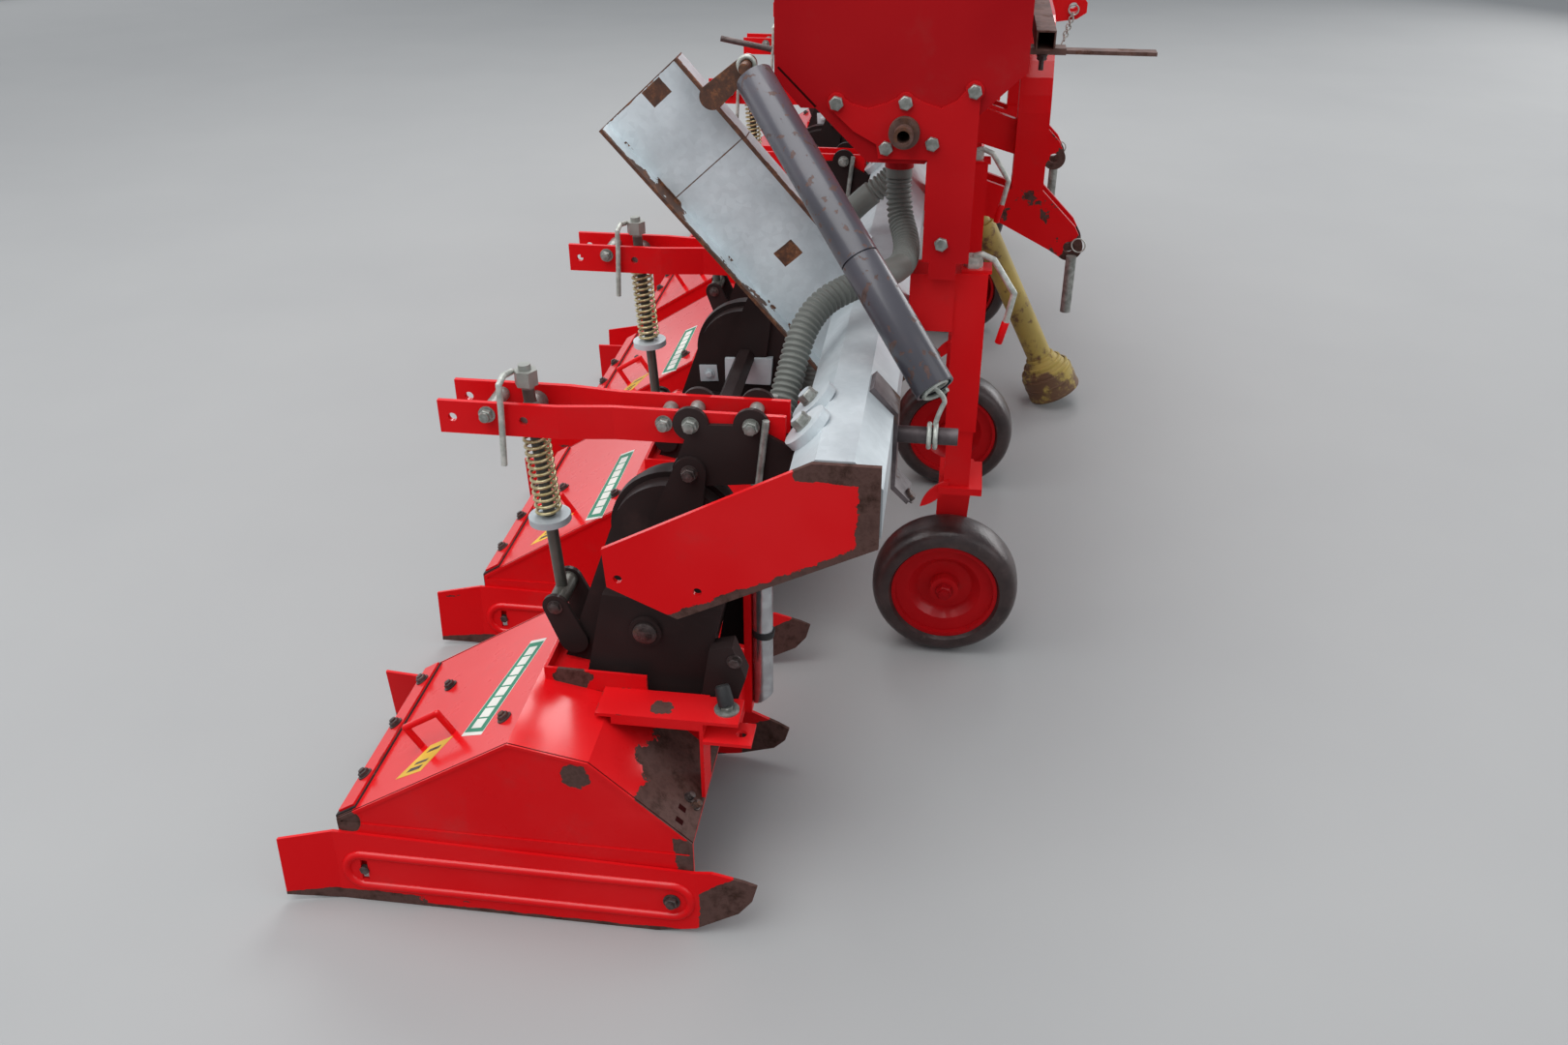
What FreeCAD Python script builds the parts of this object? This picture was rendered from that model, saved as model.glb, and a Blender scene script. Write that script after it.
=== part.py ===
"""Six-row inter-row rotary cultivator with a fertiliser hopper, on a three-point hitch.

Frame: +X is the driving direction, +Y the machine's left side, +Z up, all in millimetres.
The origin lies on the ground under the middle of the machine.  Six hooded rotors hang
from one galvanised beam, a hex shaft along the beam drives them through chain cases, and
four depth wheels carry the front.  It is parked on its skids and wheels.
"""
import FreeCAD
import Part
import math
import os

V = FreeCAD.Vector
os.makedirs("parts", exist_ok=True)

# Rows
ROWS = 6
SHIFT_X = -27.0             # puts the origin under the middle of the length

# Main beam
BEAM_X = 210.0
BEAM_Z = 776.0
BEAM_W = 140.0
BEAM_H = 122.0
BEAM_WALL = 6.0
BEAM_BEVEL = 42.0
BEAM_HALF = 2050.0
BEAM_END = 175.0            # from the outermost row's middle to the beam's end
PITCH = (BEAM_HALF - BEAM_END) * 2.0 / (ROWS - 1)
END_PLATE_T = 8.0

# Drive line
DRIVE_X = -62.0
DRIVE_Z = 603.0
DRIVE_HEX = 36.0
DRIVE_BORE = 22.3
ROTOR_X = -240.0
ROTOR_Z = 175.0
ROTOR_R = 152.0
CASE_HALF = 40.0
BLOCK_HALF = 90.0           # the case's housing above the hood is wider
BLOCK_BOSS = (-102.0, 457.0)
CASE_LOW_R = 78.0
CASE_TOP_R = 100.0
SHAFT_GAP = 0.05            # radial running clearance of every shaft in its bearing
ROTOR_SHAFT_R = 22.0

# Hoods and skids
HOOD_T = 4.0
HOOD_RECESS = 2.5           # the side sheets lie this far inside the folded rims
HOOD_RIM = 6.0
HOOD_STRIP_Z = 160.0        # top of the side's lower strip, where the recess ends
HOOD_CLEAR = 85.0           # from a hood's side to the middle between two rows
HOOD_HALF = PITCH / 2.0 - HOOD_CLEAR
HOOD_INNER_HALF = 130.0     # short side of the two outermost hoods
HOOD_LOW_Z = 60.0
HOOD_PROFILE = ((-600.0, 166.0), (-286.0, 361.0), (-157.0, 336.0), (5.0, 186.0))
SKID_T = 6.0
SKID_H = 142.0              # at the rear bend; the top edge falls to the front
SKID_FRONT_H = 128.0
SKID_LEAN = 4.5             # degrees the blade stands outward at its foot
SKID_REAR_X = -700.0
SKID_BEND_X = -610.0
SKID_TOE_GAP = 3.0          # the toe bends this far ahead of the hood's front edge
SKID_TIP_X = 108.0
SKID_TIP_Z = 100.0
SKID_FLARE = 19.5
SKID_TOE_IN = 14.0
WALL_X = -275.0             # rear of the low wall round each chain case
WALL_Y = 114.0
WALL_TOP = 382.0
STRAP_OUT = 184.0
STRAP_Z = 346.0
HANDLE_ALONG = (135.0, 206.0)
HANDLE_OFF = 45.0
HANDLE_DY = 173.0
HANDLE_R = 6.0
FLAP_T = 3.0
FLAP_LOW = 75.0
BEAD_X = (-562.0, -32.0)    # middles of the round ends of the pressed loop
BEAD_Z = 66.0
BEAD_TURN = 32.0
BEAD_R = 8.0
SLOT_HALF = 20.0

# Spring arms and their brackets
ARM_REAR_X = -425.0
ARM_FRONT_X = 121.0
ARM_Z = 775.0
ARM_H = 55.0
ARM_T = 8.0
ARM_WIDE = 35.0             # half the gap between the plates at the rear
ARM_NARROW = 24.0           # half the gap at the front
BRACKET_T = 8.0
BRACKET_LOBE_R = 28.0
BRACKET_LOBES = ((-25.0, 812.0), (69.0, 815.0), (-28.0, 732.0))
ARM_BOLTS = ((-346.0, 811.0), (-68.0, 808.0))
BOLT_R = 8.0
DISC_R = 40.0               # eccentric discs on the beam's rear bevel
DISC_T = 15.0
DISC_DY = 45.0

# Spring rod
ROD_LOW = (-268.0, 459.0)
ROD_TOP = (-293.0, 880.0)
ROD_R = 10.0
EYE_R = 16.0
SPRING_OUT_R = 23.0
SPRING_IN_R = 17.0
SPRING_Z = (612.0, 774.0)
CUP_R = 35.0
CUP_H = 12.0
TRUNNION_R = 17.0

# Depth wheels
LEG_X = 393.0
LEG_YS = (-1315.0, -565.0, 565.0, 1315.0)
LEG_OUT = 60.0
LEG_WALL = 4.0
LEG_GAP = 0.5
LEG_Z = (545.0, 868.0)
LEG_BRACKET_Z = 757.0
SOCKET_TOP = LEG_Z[1]       # top of the boxes that carry the legs and the hopper
INNER_Z = (420.0, 864.0)
FOOT_T = 15.0
CRANK = ((394.0, 893.0), (409.0, 897.0), (432.0, 887.0), (474.0, 824.0), (464.0, 771.0), (453.0, 725.0))
CRANK_R = 6.0
WHEEL_X = 385.0
WHEEL_INSET = 25.0          # wheel's middle lies this far inboard of its leg
TYRE_R = 155.0
TYRE_W = 100.0
RIM_R = 112.0
AXLE_R = 12.0
FORK_T = 10.0

# Fertiliser hopper
HOPPER_X = 245.0
HOPPER_HALF_W = 215.0
HOPPER_HALF_L = 1372.0
HOPPER_TOP = 1500.0
HOPPER_LOW = 1075.0
HOPPER_BREAK = HOPPER_LOW + 0.3765 * (HOPPER_TOP - HOPPER_LOW)
TROUGH_HALF = 50.0
HOPPER_T = 3.0
METER_X = 258.0
METER_Z = 1132.0
METER_R = 17.0
METER_BORE = 11.0
OUTLET_R = 27.0
OUTLET_H = 45.0
HOSE_R = 25.0
LID_T = 3.0
LID_GAP = 1.0
LID_RIM = 25.0
STAND_BOLTS = ((139.0, 1177.0), (258.0, 1181.0), (374.0, 1203.0), (227.0, 1103.0), (307.0, 1113.0))
HINGE_FROM_END = 272.0
HINGE_YS = (HINGE_FROM_END - HOPPER_HALF_L, 0.0, HOPPER_HALF_L - HINGE_FROM_END)
HINGE_DX = 14.0
HINGE_DROP = 10.0
KNUCKLE_R = 9.0
KNUCKLE_HALF = 50.0
RAIL_W = 36.0
RAIL_GAP = 22.0             # from the hopper's front wall to the rail
RAIL_T = 3.0
RAIL_INSET = 282.0          # the rail ends this far inside the hopper's ends

# Fertiliser pipes
PIPE_R = 18.0
PIPE_BORE = 15.0
PIPE_DY = 50.0
OUTLET_SHARES = (0.2063, 0.753, 0.893)  # outlets along the hopper's half length, from the middle
PIPE_Z = (215.0, 485.0)
SHANK = (40.0, 52.0)
SHANK_HALF = 20.0
SHANK_Z = (205.0, 470.0)

# Hitch
EAR_Y = 415.0
EAR_T = 12.0
EAR_HALF_GAP = 30.0
LINK_BORE_R = 14.25
ARCH_X = (487.0, 563.0)
ARCH_WALL = 65.0
ARCH_FOOT = 772.0
ARCH_TURN = 235.0           # radius of the arch's outer corners
ARCH_SHOULDER = 915.0       # the legs are straight up to here
LINK_DROP = 139.0           # from the arch's foot down to the lower-link pins
LINK_BORE = (640.0, ARCH_FOOT - LINK_DROP)
EAR_TIP_R = 34.0
TOP_LINK = (621.0, 1129.0)
HUNG_PIN_L = 145.0
HUNG_PIN_R = 13.0
TOP_PIN_R = 12.5
TOP_HALF_GAP = 26.0

# Gearbox and drive shaft to the tractor
GEARBOX_HALF = 100.0
PTO_X = 400.0
PTO_DROP = 63.2             # degrees below level as it rests on the ground
PTO_L = 636.0
PTO_TUBE_R = 36.0
PTO_CONE_R = 76.0
PTO_CUP_L = 68.0
SPLINE_R = 17.5
YOKE_L = 62.0
PTO_FORK = 26.0             # the fork starts this far from the joint's centre
PTO_PLAY = 0.3

# Balance tube and channel arm at each end of the hopper
CHANNEL_Y = 2.0 * PITCH - 125.0
CHANNEL_T = 6.0
CHANNEL_FLANGE = 42.0
CHANNEL_TOP = ((-275.0, 1124.0), (-132.0, 1252.0))
CHANNEL_L = 714.0
TUBE_LOW = (342.0, BEAM_HALF - 275.0, 830.0)
TUBE_TOP = (5.0, CHANNEL_Y + 65.0, 1228.0)
TUBE_R = 33.0
STUB_R = 14.0
STUB_Z = 748.0
CLAMP_T = 7.0
HOOK_R = 4.0


def row_y(k):
    return (k - (ROWS - 1) / 2.0) * PITCH


def side(k):
    """-1 for the rows on the right of the machine, +1 for those on the left."""
    return -1.0 if k < ROWS / 2 else 1.0


def hood_span(k):
    """Y limits of row k's hood; the outermost hoods are short on their inner side."""
    y = row_y(k)
    if k == 0:
        return y - HOOD_HALF, y + HOOD_INNER_HALF
    if k == ROWS - 1:
        return y - HOOD_INNER_HALF, y + HOOD_HALF
    return y - HOOD_HALF, y + HOOD_HALF


def box(x0, x1, y0, y1, z0, z1):
    return Part.makeBox(x1 - x0, y1 - y0, z1 - z0, V(x0, y0, z0))


def rod(p, q, r):
    p, q = V(*p), V(*q)
    return Part.makeCylinder(r, (q - p).Length, p, q - p)


def pipe(p, q, r_out, r_in):
    return rod(p, q, r_out).cut(rod(p, q, r_in))


def y_rod(x, z, y0, y1, r):
    return rod((x, y0, z), (x, y1, z), r)


def prism(points, y0, y1):
    """Extrude an (x, z) outline along Y."""
    wire = Part.makePolygon([V(x, y0, z) for x, z in points] + [V(points[0][0], y0, points[0][1])])
    return Part.Face(wire).extrude(V(0, y1 - y0, 0))


def plan_prism(points, z0, z1):
    """Extrude an (x, y) outline along Z."""
    wire = Part.makePolygon([V(x, y, z0) for x, y in points] + [V(points[0][0], points[0][1], z0)])
    return Part.Face(wire).extrude(V(0, 0, z1 - z0))


def end_prism(points, x0, x1):
    """Extrude a (y, z) outline along X."""
    wire = Part.makePolygon([V(x0, y, z) for y, z in points] + [V(x0, points[0][0], points[0][1])])
    return Part.Face(wire).extrude(V(x1 - x0, 0, 0))


def inset(points, t):
    """Move each side of a convex clockwise outline inward by t."""
    lines = []
    n = len(points)
    for i in range(n):
        (x0, z0), (x1, z1) = points[i], points[(i + 1) % n]
        length = math.hypot(x1 - x0, z1 - z0)
        nx, nz = (z1 - z0) / length, -(x1 - x0) / length
        lines.append((x0 + nx * t, z0 + nz * t, x1 - x0, z1 - z0))
    moved = []
    for i in range(n):
        ax, az, adx, adz = lines[i - 1]
        bx, bz, bdx, bdz = lines[i]
        s = ((bx - ax) * bdz - (bz - az) * bdx) / (adx * bdz - adz * bdx)
        moved.append((ax + adx * s, az + adz * s))
    return moved


def hull_plate(a, ra, b, rb, y0, y1):
    """Plate whose outline is the tangent hull of two circles in the XZ plane."""
    dx, dz = b[0] - a[0], b[1] - a[1]
    gap = math.hypot(dx, dz)
    base = math.atan2(dz, dx)
    lean = math.acos((ra - rb) / gap)
    corners = []
    for c, r, turn in ((a, ra, lean), (b, rb, lean), (b, rb, -lean), (a, ra, -lean)):
        corners.append((c[0] + r * math.cos(base + turn), c[1] + r * math.sin(base + turn)))
    plate = prism(corners, y0, y1)
    return plate.fuse([y_rod(a[0], a[1], y0, y1, ra), y_rod(b[0], b[1], y0, y1, rb)]).removeSplitter()


def bent_rod(points, r):
    """Round rod along straight runs with ball corners."""
    runs = [rod(p, q, r) for p, q in zip(points, points[1:])]
    corners = [Part.makeSphere(r, V(*p)) for p in points[1:-1]]
    return runs[0].fuse(runs[1:] + corners).removeSplitter()


def mirror_y(shape):
    return shape.mirror(V(0, 0, 0), V(0, 1, 0))


def both_ends(shape):
    return [shape, mirror_y(shape)]


def hexagon(x, z, flats, y0, y1):
    r = flats / math.sqrt(3.0)
    corners = [(x + r * math.cos(math.radians(60 * i)), z + r * math.sin(math.radians(60 * i)))
               for i in range(6)]
    return prism(corners, y0, y1)


def save(name, shapes):
    """Write one sub-part; like pieces that don't touch stay separate solids in it."""
    solids = []
    for shape in shapes:
        solids += shape.Solids
    whole = Part.makeCompound(solids) if len(solids) > 1 else solids[0]
    whole.translate(V(SHIFT_X, 0, 0))
    for solid in solids:
        if not solid.isValid():
            print("not valid:", name)
    whole.exportStep("parts/" + name + ".step")
    print(name, len(solids), "solids", round(sum(s.Volume for s in solids) / 1e6, 3), "dm3")


def cord_tube(points, r):
    """Tube along straight runs joined by tangent arcs, with its radii printed."""
    pts = [V(*p) for p in points]
    edges, radii, length = [], [], 0.0
    start = pts[0]
    for before, here, after in zip(pts, pts[1:], pts[2:]):
        u, w = (here - before), (after - here)
        turn = u.getAngle(w)
        shorter = min(u.Length, w.Length)
        cut = 0.45 * shorter
        radius = cut / math.tan(turn / 2.0)
        radii.append(round(radius))
        u.normalize()
        w.normalize()
        p, q = here - u * cut, here + w * cut
        mid_dir = (w - u).normalize()
        mid = here + mid_dir * (radius / math.cos(turn / 2.0) - radius)
        edges += [Part.LineSegment(start, p).toShape(), Part.Arc(p, mid, q).toShape()]
        length += (p - start).Length + radius * turn
        start = q
    edges.append(Part.LineSegment(start, pts[-1]).toShape())
    length += (pts[-1] - start).Length
    direction = pts[1] - pts[0]
    profile = Part.Wire(Part.makeCircle(r, pts[0], direction))
    tube = Part.Wire(edges).makePipeShell([profile], True, False)
    expected = math.pi * r * r * length
    print("  cord radii", radii, "length", round(length), "volume ratio",
          round(tube.Volume / expected, 4))
    return tube


BEAM_REAR = BEAM_X - BEAM_W / 2
BEAM_FRONT = BEAM_X + BEAM_W / 2
BEAM_TOP = BEAM_Z + BEAM_H / 2
BEAM_LOW = BEAM_Z - BEAM_H / 2


def beam_outline():
    return [(BEAM_REAR, BEAM_LOW), (BEAM_REAR, BEAM_TOP - BEAM_BEVEL),
            (BEAM_REAR + BEAM_BEVEL, BEAM_TOP), (BEAM_FRONT - BEAM_BEVEL, BEAM_TOP),
            (BEAM_FRONT, BEAM_TOP - BEAM_BEVEL), (BEAM_FRONT, BEAM_LOW)]


def beam():
    outer = beam_outline()
    solid = prism(outer, -BEAM_HALF, BEAM_HALF)
    return [solid.cut(prism(inset(outer, BEAM_WALL), -BEAM_HALF - 1, BEAM_HALF + 1))]


def end_plates():
    """Red guard plates that close the beam and carry the ends of the drive shaft."""
    outline = [(DRIVE_X - 77, DRIVE_Z + 63), (BEAM_REAR + 38, BEAM_TOP - 3),
               (BEAM_FRONT - 3, BEAM_TOP - 3), (BEAM_FRONT - 3, BEAM_LOW - 15),
               (DRIVE_X + 35, DRIVE_Z - 54), (DRIVE_X - 73, DRIVE_Z - 4)]
    y = -BEAM_HALF - END_PLATE_T
    plate = prism(outline, y, -BEAM_HALF)
    for x, z in ((DRIVE_X - 55, DRIVE_Z + 12), (DRIVE_X + 68, DRIVE_Z - 1)):
        plate = plate.cut(y_rod(x, z, y - 1, -BEAM_HALF + 1, 7.0))
    return both_ends(plate)


def arm_plate():
    """One plate of a spring arm, joggled from the wide rear to the narrow front."""
    w, n, t = ARM_WIDE, ARM_NARROW, ARM_T
    j0, j1 = -235.0, -150.0
    plan = [(ARM_REAR_X, w), (j0, w), (j1, n), (ARM_FRONT_X, n), (ARM_FRONT_X, n + t),
            (j1 + 2, n + t), (j0 + 2, w + t), (ARM_REAR_X, w + t)]
    plate = plan_prism(plan, ARM_Z, ARM_Z + ARM_H)
    mid = ARM_Z + ARM_H / 2
    for x in (ARM_REAR_X + 22, on_rod(mid)):
        plate = plate.cut(y_rod(x, mid, w - 5, w + t + 5, 7.0))
    for x, z in BRACKET_LOBES[:2] + ARM_BOLTS:
        plate = plate.cut(y_rod(x, z, n - 5, w + t + 5, BOLT_R + 0.3))
    return plate


def arms():
    plates = []
    for k in range(ROWS):
        for plate in both_ends(arm_plate()):
            plate.translate(V(0, row_y(k), 0))
            plates.append(plate)
    return plates


def arm_bracket():
    """Black scalloped plate that bolts a spring arm and the drive case to the beam."""
    y0 = ARM_NARROW + ARM_T
    y1 = y0 + BRACKET_T
    (ax, az), (bx, bz), (cx, cz) = BRACKET_LOBES
    web = prism([(cx, cz - BRACKET_LOBE_R), (BEAM_REAR, BEAM_LOW + 8), (BEAM_REAR, BEAM_TOP - 60),
                 (bx, bz), (ax, az), (cx - BRACKET_LOBE_R, cz)], y0, y1)
    plate = web.fuse([y_rod(x, z, y0, y1, BRACKET_LOBE_R) for x, z in BRACKET_LOBES])
    plate = plate.common(box(-200, BEAM_REAR, y0, y1, 600, 900)).removeSplitter()
    for x, z in BRACKET_LOBES:
        plate = plate.cut(y_rod(x, z, y0 - 1, y1 + 1, BOLT_R + 0.3))
    return plate


def arm_brackets():
    plates = []
    for k in range(ROWS):
        for plate in both_ends(arm_bracket()):
            plate.translate(V(0, row_y(k), 0))
            plates.append(plate)
    return plates


def shaft_hangers():
    """Links from the brackets' lower lobes to the drive shaft, one on each side of a case."""
    y0 = ARM_NARROW + ARM_T + BRACKET_T
    links = []
    for k in range(ROWS):
        link = hull_plate((DRIVE_X, DRIVE_Z), 44.0, BRACKET_LOBES[2], 26.0, y0, y0 + 8)
        link = link.cut(y_rod(DRIVE_X, DRIVE_Z, y0 - 1, y0 + 9, DRIVE_BORE))
        x, z = BRACKET_LOBES[2]
        link = link.cut(y_rod(x, z, y0 - 1, y0 + 9, BOLT_R + 0.3))
        for one in both_ends(link):
            one.translate(V(0, row_y(k), 0))
            links.append(one)
    return links


def arm_bolts():
    """Through bolts and spacer tubes of the arms and brackets."""
    reach = ARM_NARROW + ARM_T + BRACKET_T
    bolts = []
    for k in range(ROWS):
        y = row_y(k)
        for i, (x, z) in enumerate(BRACKET_LOBES):
            half = reach + (8 if i == 2 else 0)
            bolt = y_rod(x, z, y - half - 6, y + half + 6, BOLT_R)
            heads = [hexagon(x, z, 24.0, y - half - 12, y - half), hexagon(x, z, 24.0, y + half, y + half + 12)]
            bolts.append(bolt.fuse(heads))
        for (x, z), inner in zip(ARM_BOLTS, (ARM_WIDE, ARM_NARROW)):
            half = inner + ARM_T
            bolt = y_rod(x, z, y - half - 6, y + half + 6, BOLT_R)
            ends = [hexagon(x, z, 22.0, y - half - 10, y - half), hexagon(x, z, 22.0, y + half, y + half + 10)]
            spacer = y_rod(x, z, y - inner + 0.3, y + inner - 0.3, 12.0)
            bolts.append(bolt.fuse(ends + [spacer]))
    return bolts


def adjust_discs():
    """Two thick galvanised eccentric discs per row, bolted on the beam's rear bevel."""
    discs = []
    lean = V(-1, 0, 1)
    lean.normalize()
    for k in range(ROWS):
        for dy in (-DISC_DY, DISC_DY):
            foot = V(BEAM_REAR + BEAM_BEVEL / 2, row_y(k) + dy, BEAM_TOP - BEAM_BEVEL / 2)
            disc = Part.makeCylinder(DISC_R, DISC_T, foot, lean)
            bolt = Part.makeCylinder(11.0, DISC_T + 17, foot, lean)
            discs.append(disc.fuse(bolt))
    return discs


def case_outline(grow, y0, y1):
    return hull_plate((ROTOR_X, ROTOR_Z), CASE_LOW_R + grow, (DRIVE_X, DRIVE_Z), CASE_TOP_R + grow, y0, y1)


def drive_case():
    """Chain case from the drive shaft down to the rotor, with bearing flanges at both ends."""
    case = case_outline(0.0, -CASE_HALF, CASE_HALF)
    case = case.cut(y_rod(DRIVE_X, DRIVE_Z, -CASE_HALF - 1, CASE_HALF + 1, DRIVE_BORE))
    case = case.cut(y_rod(ROTOR_X, ROTOR_Z, -CASE_HALF - 1, CASE_HALF + 1, ROTOR_SHAFT_R + SHAFT_GAP))
    ring = y_rod(DRIVE_X, DRIVE_Z, -10, 10, CASE_TOP_R + 9).cut(y_rod(DRIVE_X, DRIVE_Z, -11, 11, CASE_TOP_R - 5))
    block = prism([(-210, 349), (-172, 520), (26, 508), (-22, 300), (-68, 262), (-150, 344)],
                  -BLOCK_HALF, BLOCK_HALF)
    boss = y_rod(BLOCK_BOSS[0], BLOCK_BOSS[1], -BLOCK_HALF - 8, 0, 27.0)
    plug = y_rod(BLOCK_BOSS[0], BLOCK_BOSS[1], -BLOCK_HALF - 14, 0, 13.0)
    links = both_ends(prism([(-12, 330), (6, 440), (44, 450), (66, 390), (44, 318)], 76, BLOCK_HALF + 22))
    return case.fuse([ring, block, boss, plug] + links).removeSplitter()


def drive_cases():
    cases = []
    for k in range(ROWS):
        case = drive_case()
        case.translate(V(0, row_y(k), 0))
        cases.append(case)
    return cases


def drive_shaft():
    """Hex shaft with a round journal in each case and in the gearbox."""
    shaft = hexagon(DRIVE_X, DRIVE_Z, DRIVE_HEX, -BEAM_HALF + 0.3, BEAM_HALF - 0.3)
    half = CASE_HALF + 8
    spots = [(row_y(k), half) for k in range(ROWS)] + [(0.0, GEARBOX_HALF)]
    journals = [y_rod(DRIVE_X, DRIVE_Z, y - h, y + h, DRIVE_BORE - SHAFT_GAP) for y, h in spots]
    return [shaft.fuse(journals).removeSplitter()]


def hood_outline():
    return [(HOOD_PROFILE[0][0], HOOD_LOW_Z)] + list(HOOD_PROFILE) + [(HOOD_PROFILE[-1][0], HOOD_LOW_Z)]


def hoods():
    """Folded sheet hoods, open below, with a slot that the chain case passes through."""
    shells = []
    outer = hood_outline()
    inner = inset(outer, HOOD_T)
    low = HOOD_LOW_Z - 10
    panel = inset([(x, max(z, HOOD_STRIP_Z - HOOD_RIM)) for x, z in outer], HOOD_RIM)
    inner = [(inner[0][0], low)] + inner[1:-1] + [(inner[-1][0], low)]
    openings = [box(outer[0][0] - 1, inner[0][0] + 1, -1e4, 1e4, low, HOOD_PROFILE[0][1] - HOOD_T),
                box(inner[-1][0] - 1, outer[-1][0] + 1, -1e4, 1e4, low, HOOD_PROFILE[-1][1] - HOOD_T)]
    for k in range(ROWS):
        y0, y1 = hood_span(k)
        sheet = HOOD_T + HOOD_RECESS
        shell = prism(outer, y0, y1).cut(prism(inner, y0 + sheet, y1 - sheet))
        shell = shell.cut([prism(panel, y0 - 1, y0 + HOOD_RECESS), prism(panel, y1 - HOOD_RECESS, y1 + 1)])
        slot = case_outline(2.0, row_y(k) - CASE_HALF, row_y(k) + CASE_HALF)
        shell = shell.cut(slot.common(box(-700, 200, -1e4, 1e4, 240, 400)))
        between = box(-700, 200, y0 + sheet, y1 - sheet, 0, 400)
        shell = shell.cut([opening.common(between) for opening in openings])
        shells.append(shell)
    return shells


def stadium_ring(x0, x1, y, z, turn, r):
    """Round bar bent to a long loop in the XZ plane, with half-circle ends of radius turn."""
    low, high = z - turn, z + turn
    edges = [Part.LineSegment(V(x0, y, low), V(x1, y, low)).toShape(),
             Part.Arc(V(x1, y, low), V(x1 + turn, y, z), V(x1, y, high)).toShape(),
             Part.LineSegment(V(x1, y, high), V(x0, y, high)).toShape(),
             Part.Arc(V(x0, y, high), V(x0 - turn, y, z), V(x0, y, low)).toShape()]
    profile = Part.Wire(Part.makeCircle(r, V(x0, y, low), V(1, 0, 0)))
    return Part.Wire(edges).makePipeShell([profile], True, False)


def skid(out):
    """Skid blade against a hood's side at y=0; out is the outward direction."""
    t = SKID_T
    toe_x = HOOD_PROFILE[-1][0] + SKID_TOE_GAP
    plan = [(SKID_REAR_X, SKID_FLARE), (SKID_BEND_X, 0), (toe_x, 0), (SKID_TIP_X, -SKID_TOE_IN),
            (SKID_TIP_X, t - SKID_TOE_IN), (toe_x, t), (SKID_BEND_X, t), (SKID_REAR_X, SKID_FLARE + t)]
    blade = plan_prism([(x, y * out) for x, y in plan], 0, SKID_H)
    face = (t - 2) * out
    loop = stadium_ring(BEAD_X[0], BEAD_X[1], face, BEAD_Z, BEAD_TURN, BEAD_R)
    blade = blade.fuse(loop.common(box(SKID_REAR_X, SKID_TIP_X, *sorted((face, out * 40.0)), 0, SKID_H)))
    slot = box(BEAD_X[0] - 6, BEAD_X[0] + 6, -40, 40, BEAD_Z - SLOT_HALF, BEAD_Z + SLOT_HALF)
    blade = blade.cut(slot).removeSplitter()
    side_view = [(SKID_REAR_X - 1, 12), (SKID_BEND_X, 0), (-60, 0), (toe_x, 12), (SKID_TIP_X - 30, 44),
                 (SKID_TIP_X - 8, 70), (SKID_TIP_X, SKID_TIP_Z), (SKID_TIP_X - 21, SKID_TIP_Z + 10),
                 (toe_x + 27, SKID_FRONT_H), (SKID_BEND_X, SKID_H), (SKID_REAR_X - 1, SKID_H - 12)]
    blade = blade.common(prism(side_view, -100, 100))
    blade.rotate(V(0, 0, SKID_H), V(1, 0, 0), out * SKID_LEAN)
    blade.translate(V(0, 0, SKID_H * (math.cos(math.radians(SKID_LEAN)) - 1)))
    return blade


def skids():
    blades = []
    for k in range(ROWS):
        for y, out in zip(hood_span(k), (-1.0, 1.0)):
            blade = skid(out)
            blade.translate(V(0, y, 0))
            blades.append(blade)
    return blades


def slope_z(x):
    """Height of the hood's front slope at x."""
    (x0, z0), (x1, z1) = HOOD_PROFILE[2:]
    return z0 + (z1 - z0) * (x - x0) / (x1 - x0)


def hood_strap(y_out):
    """Shelf beside the case with a leg to the hood's front slope and two lugs ahead of it."""
    y0, y1 = WALL_Y, y_out
    low = slope_z(0.0)
    shelf = box(-172, 6, y0, y1, STRAP_Z, STRAP_Z + 6)
    lip = box(-146, 6, y1 - 5, y1, STRAP_Z - 14, STRAP_Z)
    leg = box(0, 6, y1 - 56, y1, low, STRAP_Z)
    upper = box(6, 64, y0 + 4, y1, STRAP_Z, STRAP_Z + 6)
    lower = box(6, 86, y1 - 50, y1 + 6, STRAP_Z - 36, STRAP_Z - 30)
    eye = rod((66, y1 - 22, STRAP_Z - 37), (66, y1 - 22, STRAP_Z - 29), 9.0)
    bolt = rod((40, y0 + 34, STRAP_Z - 1), (40, y0 + 34, STRAP_Z + 7), BOLT_R + 0.3)
    return shelf.fuse([lip, leg, upper, lower]).cut([eye, bolt])


def hood_brackets():
    """Low wall round the chain case on the hood, shelves beside it and the shank's cross plate."""
    parts = []
    t = 5.0
    (ax, az), (bx, bz) = HOOD_PROFILE[1:3]
    rear_z = az + (bz - az) * (WALL_X - ax) / (bx - ax)
    side_wall = prism([(WALL_X, rear_z), (WALL_X, WALL_TOP), (-100, WALL_TOP - 3), (-100, 338),
                       (bx, bz)], WALL_Y - t, WALL_Y)
    low_z = rear_z + t * (bz - az) / (bx - ax)
    rear = prism([(WALL_X, rear_z), (WALL_X, WALL_TOP), (WALL_X + t, WALL_TOP), (WALL_X + t, low_z)],
                 -WALL_Y, WALL_Y)
    cheek = prism([(-60, slope_z(-60)), (-20, slope_z(-20)), (28, slope_z(-20)), (28, 300), (0, 300),
                   (-55, 255)], 60, 68)
    cross = box(28.0, 40.0, -70, 70, slope_z(-20), 300.0)
    for k in range(ROWS):
        y = row_y(k)
        lo, hi = hood_span(k)
        straps = []
        if hi - y > STRAP_OUT:
            straps.append(hood_strap(STRAP_OUT))
        if y - lo > STRAP_OUT:
            straps.append(mirror_y(hood_strap(STRAP_OUT)))
        wall = rear.fuse(both_ends(side_wall) + straps).removeSplitter()
        front = cross.fuse(both_ends(cheek)).removeSplitter()
        for unit in (wall, front):
            unit.translate(V(0, y, 0))
            parts.append(unit)
    return parts


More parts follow.
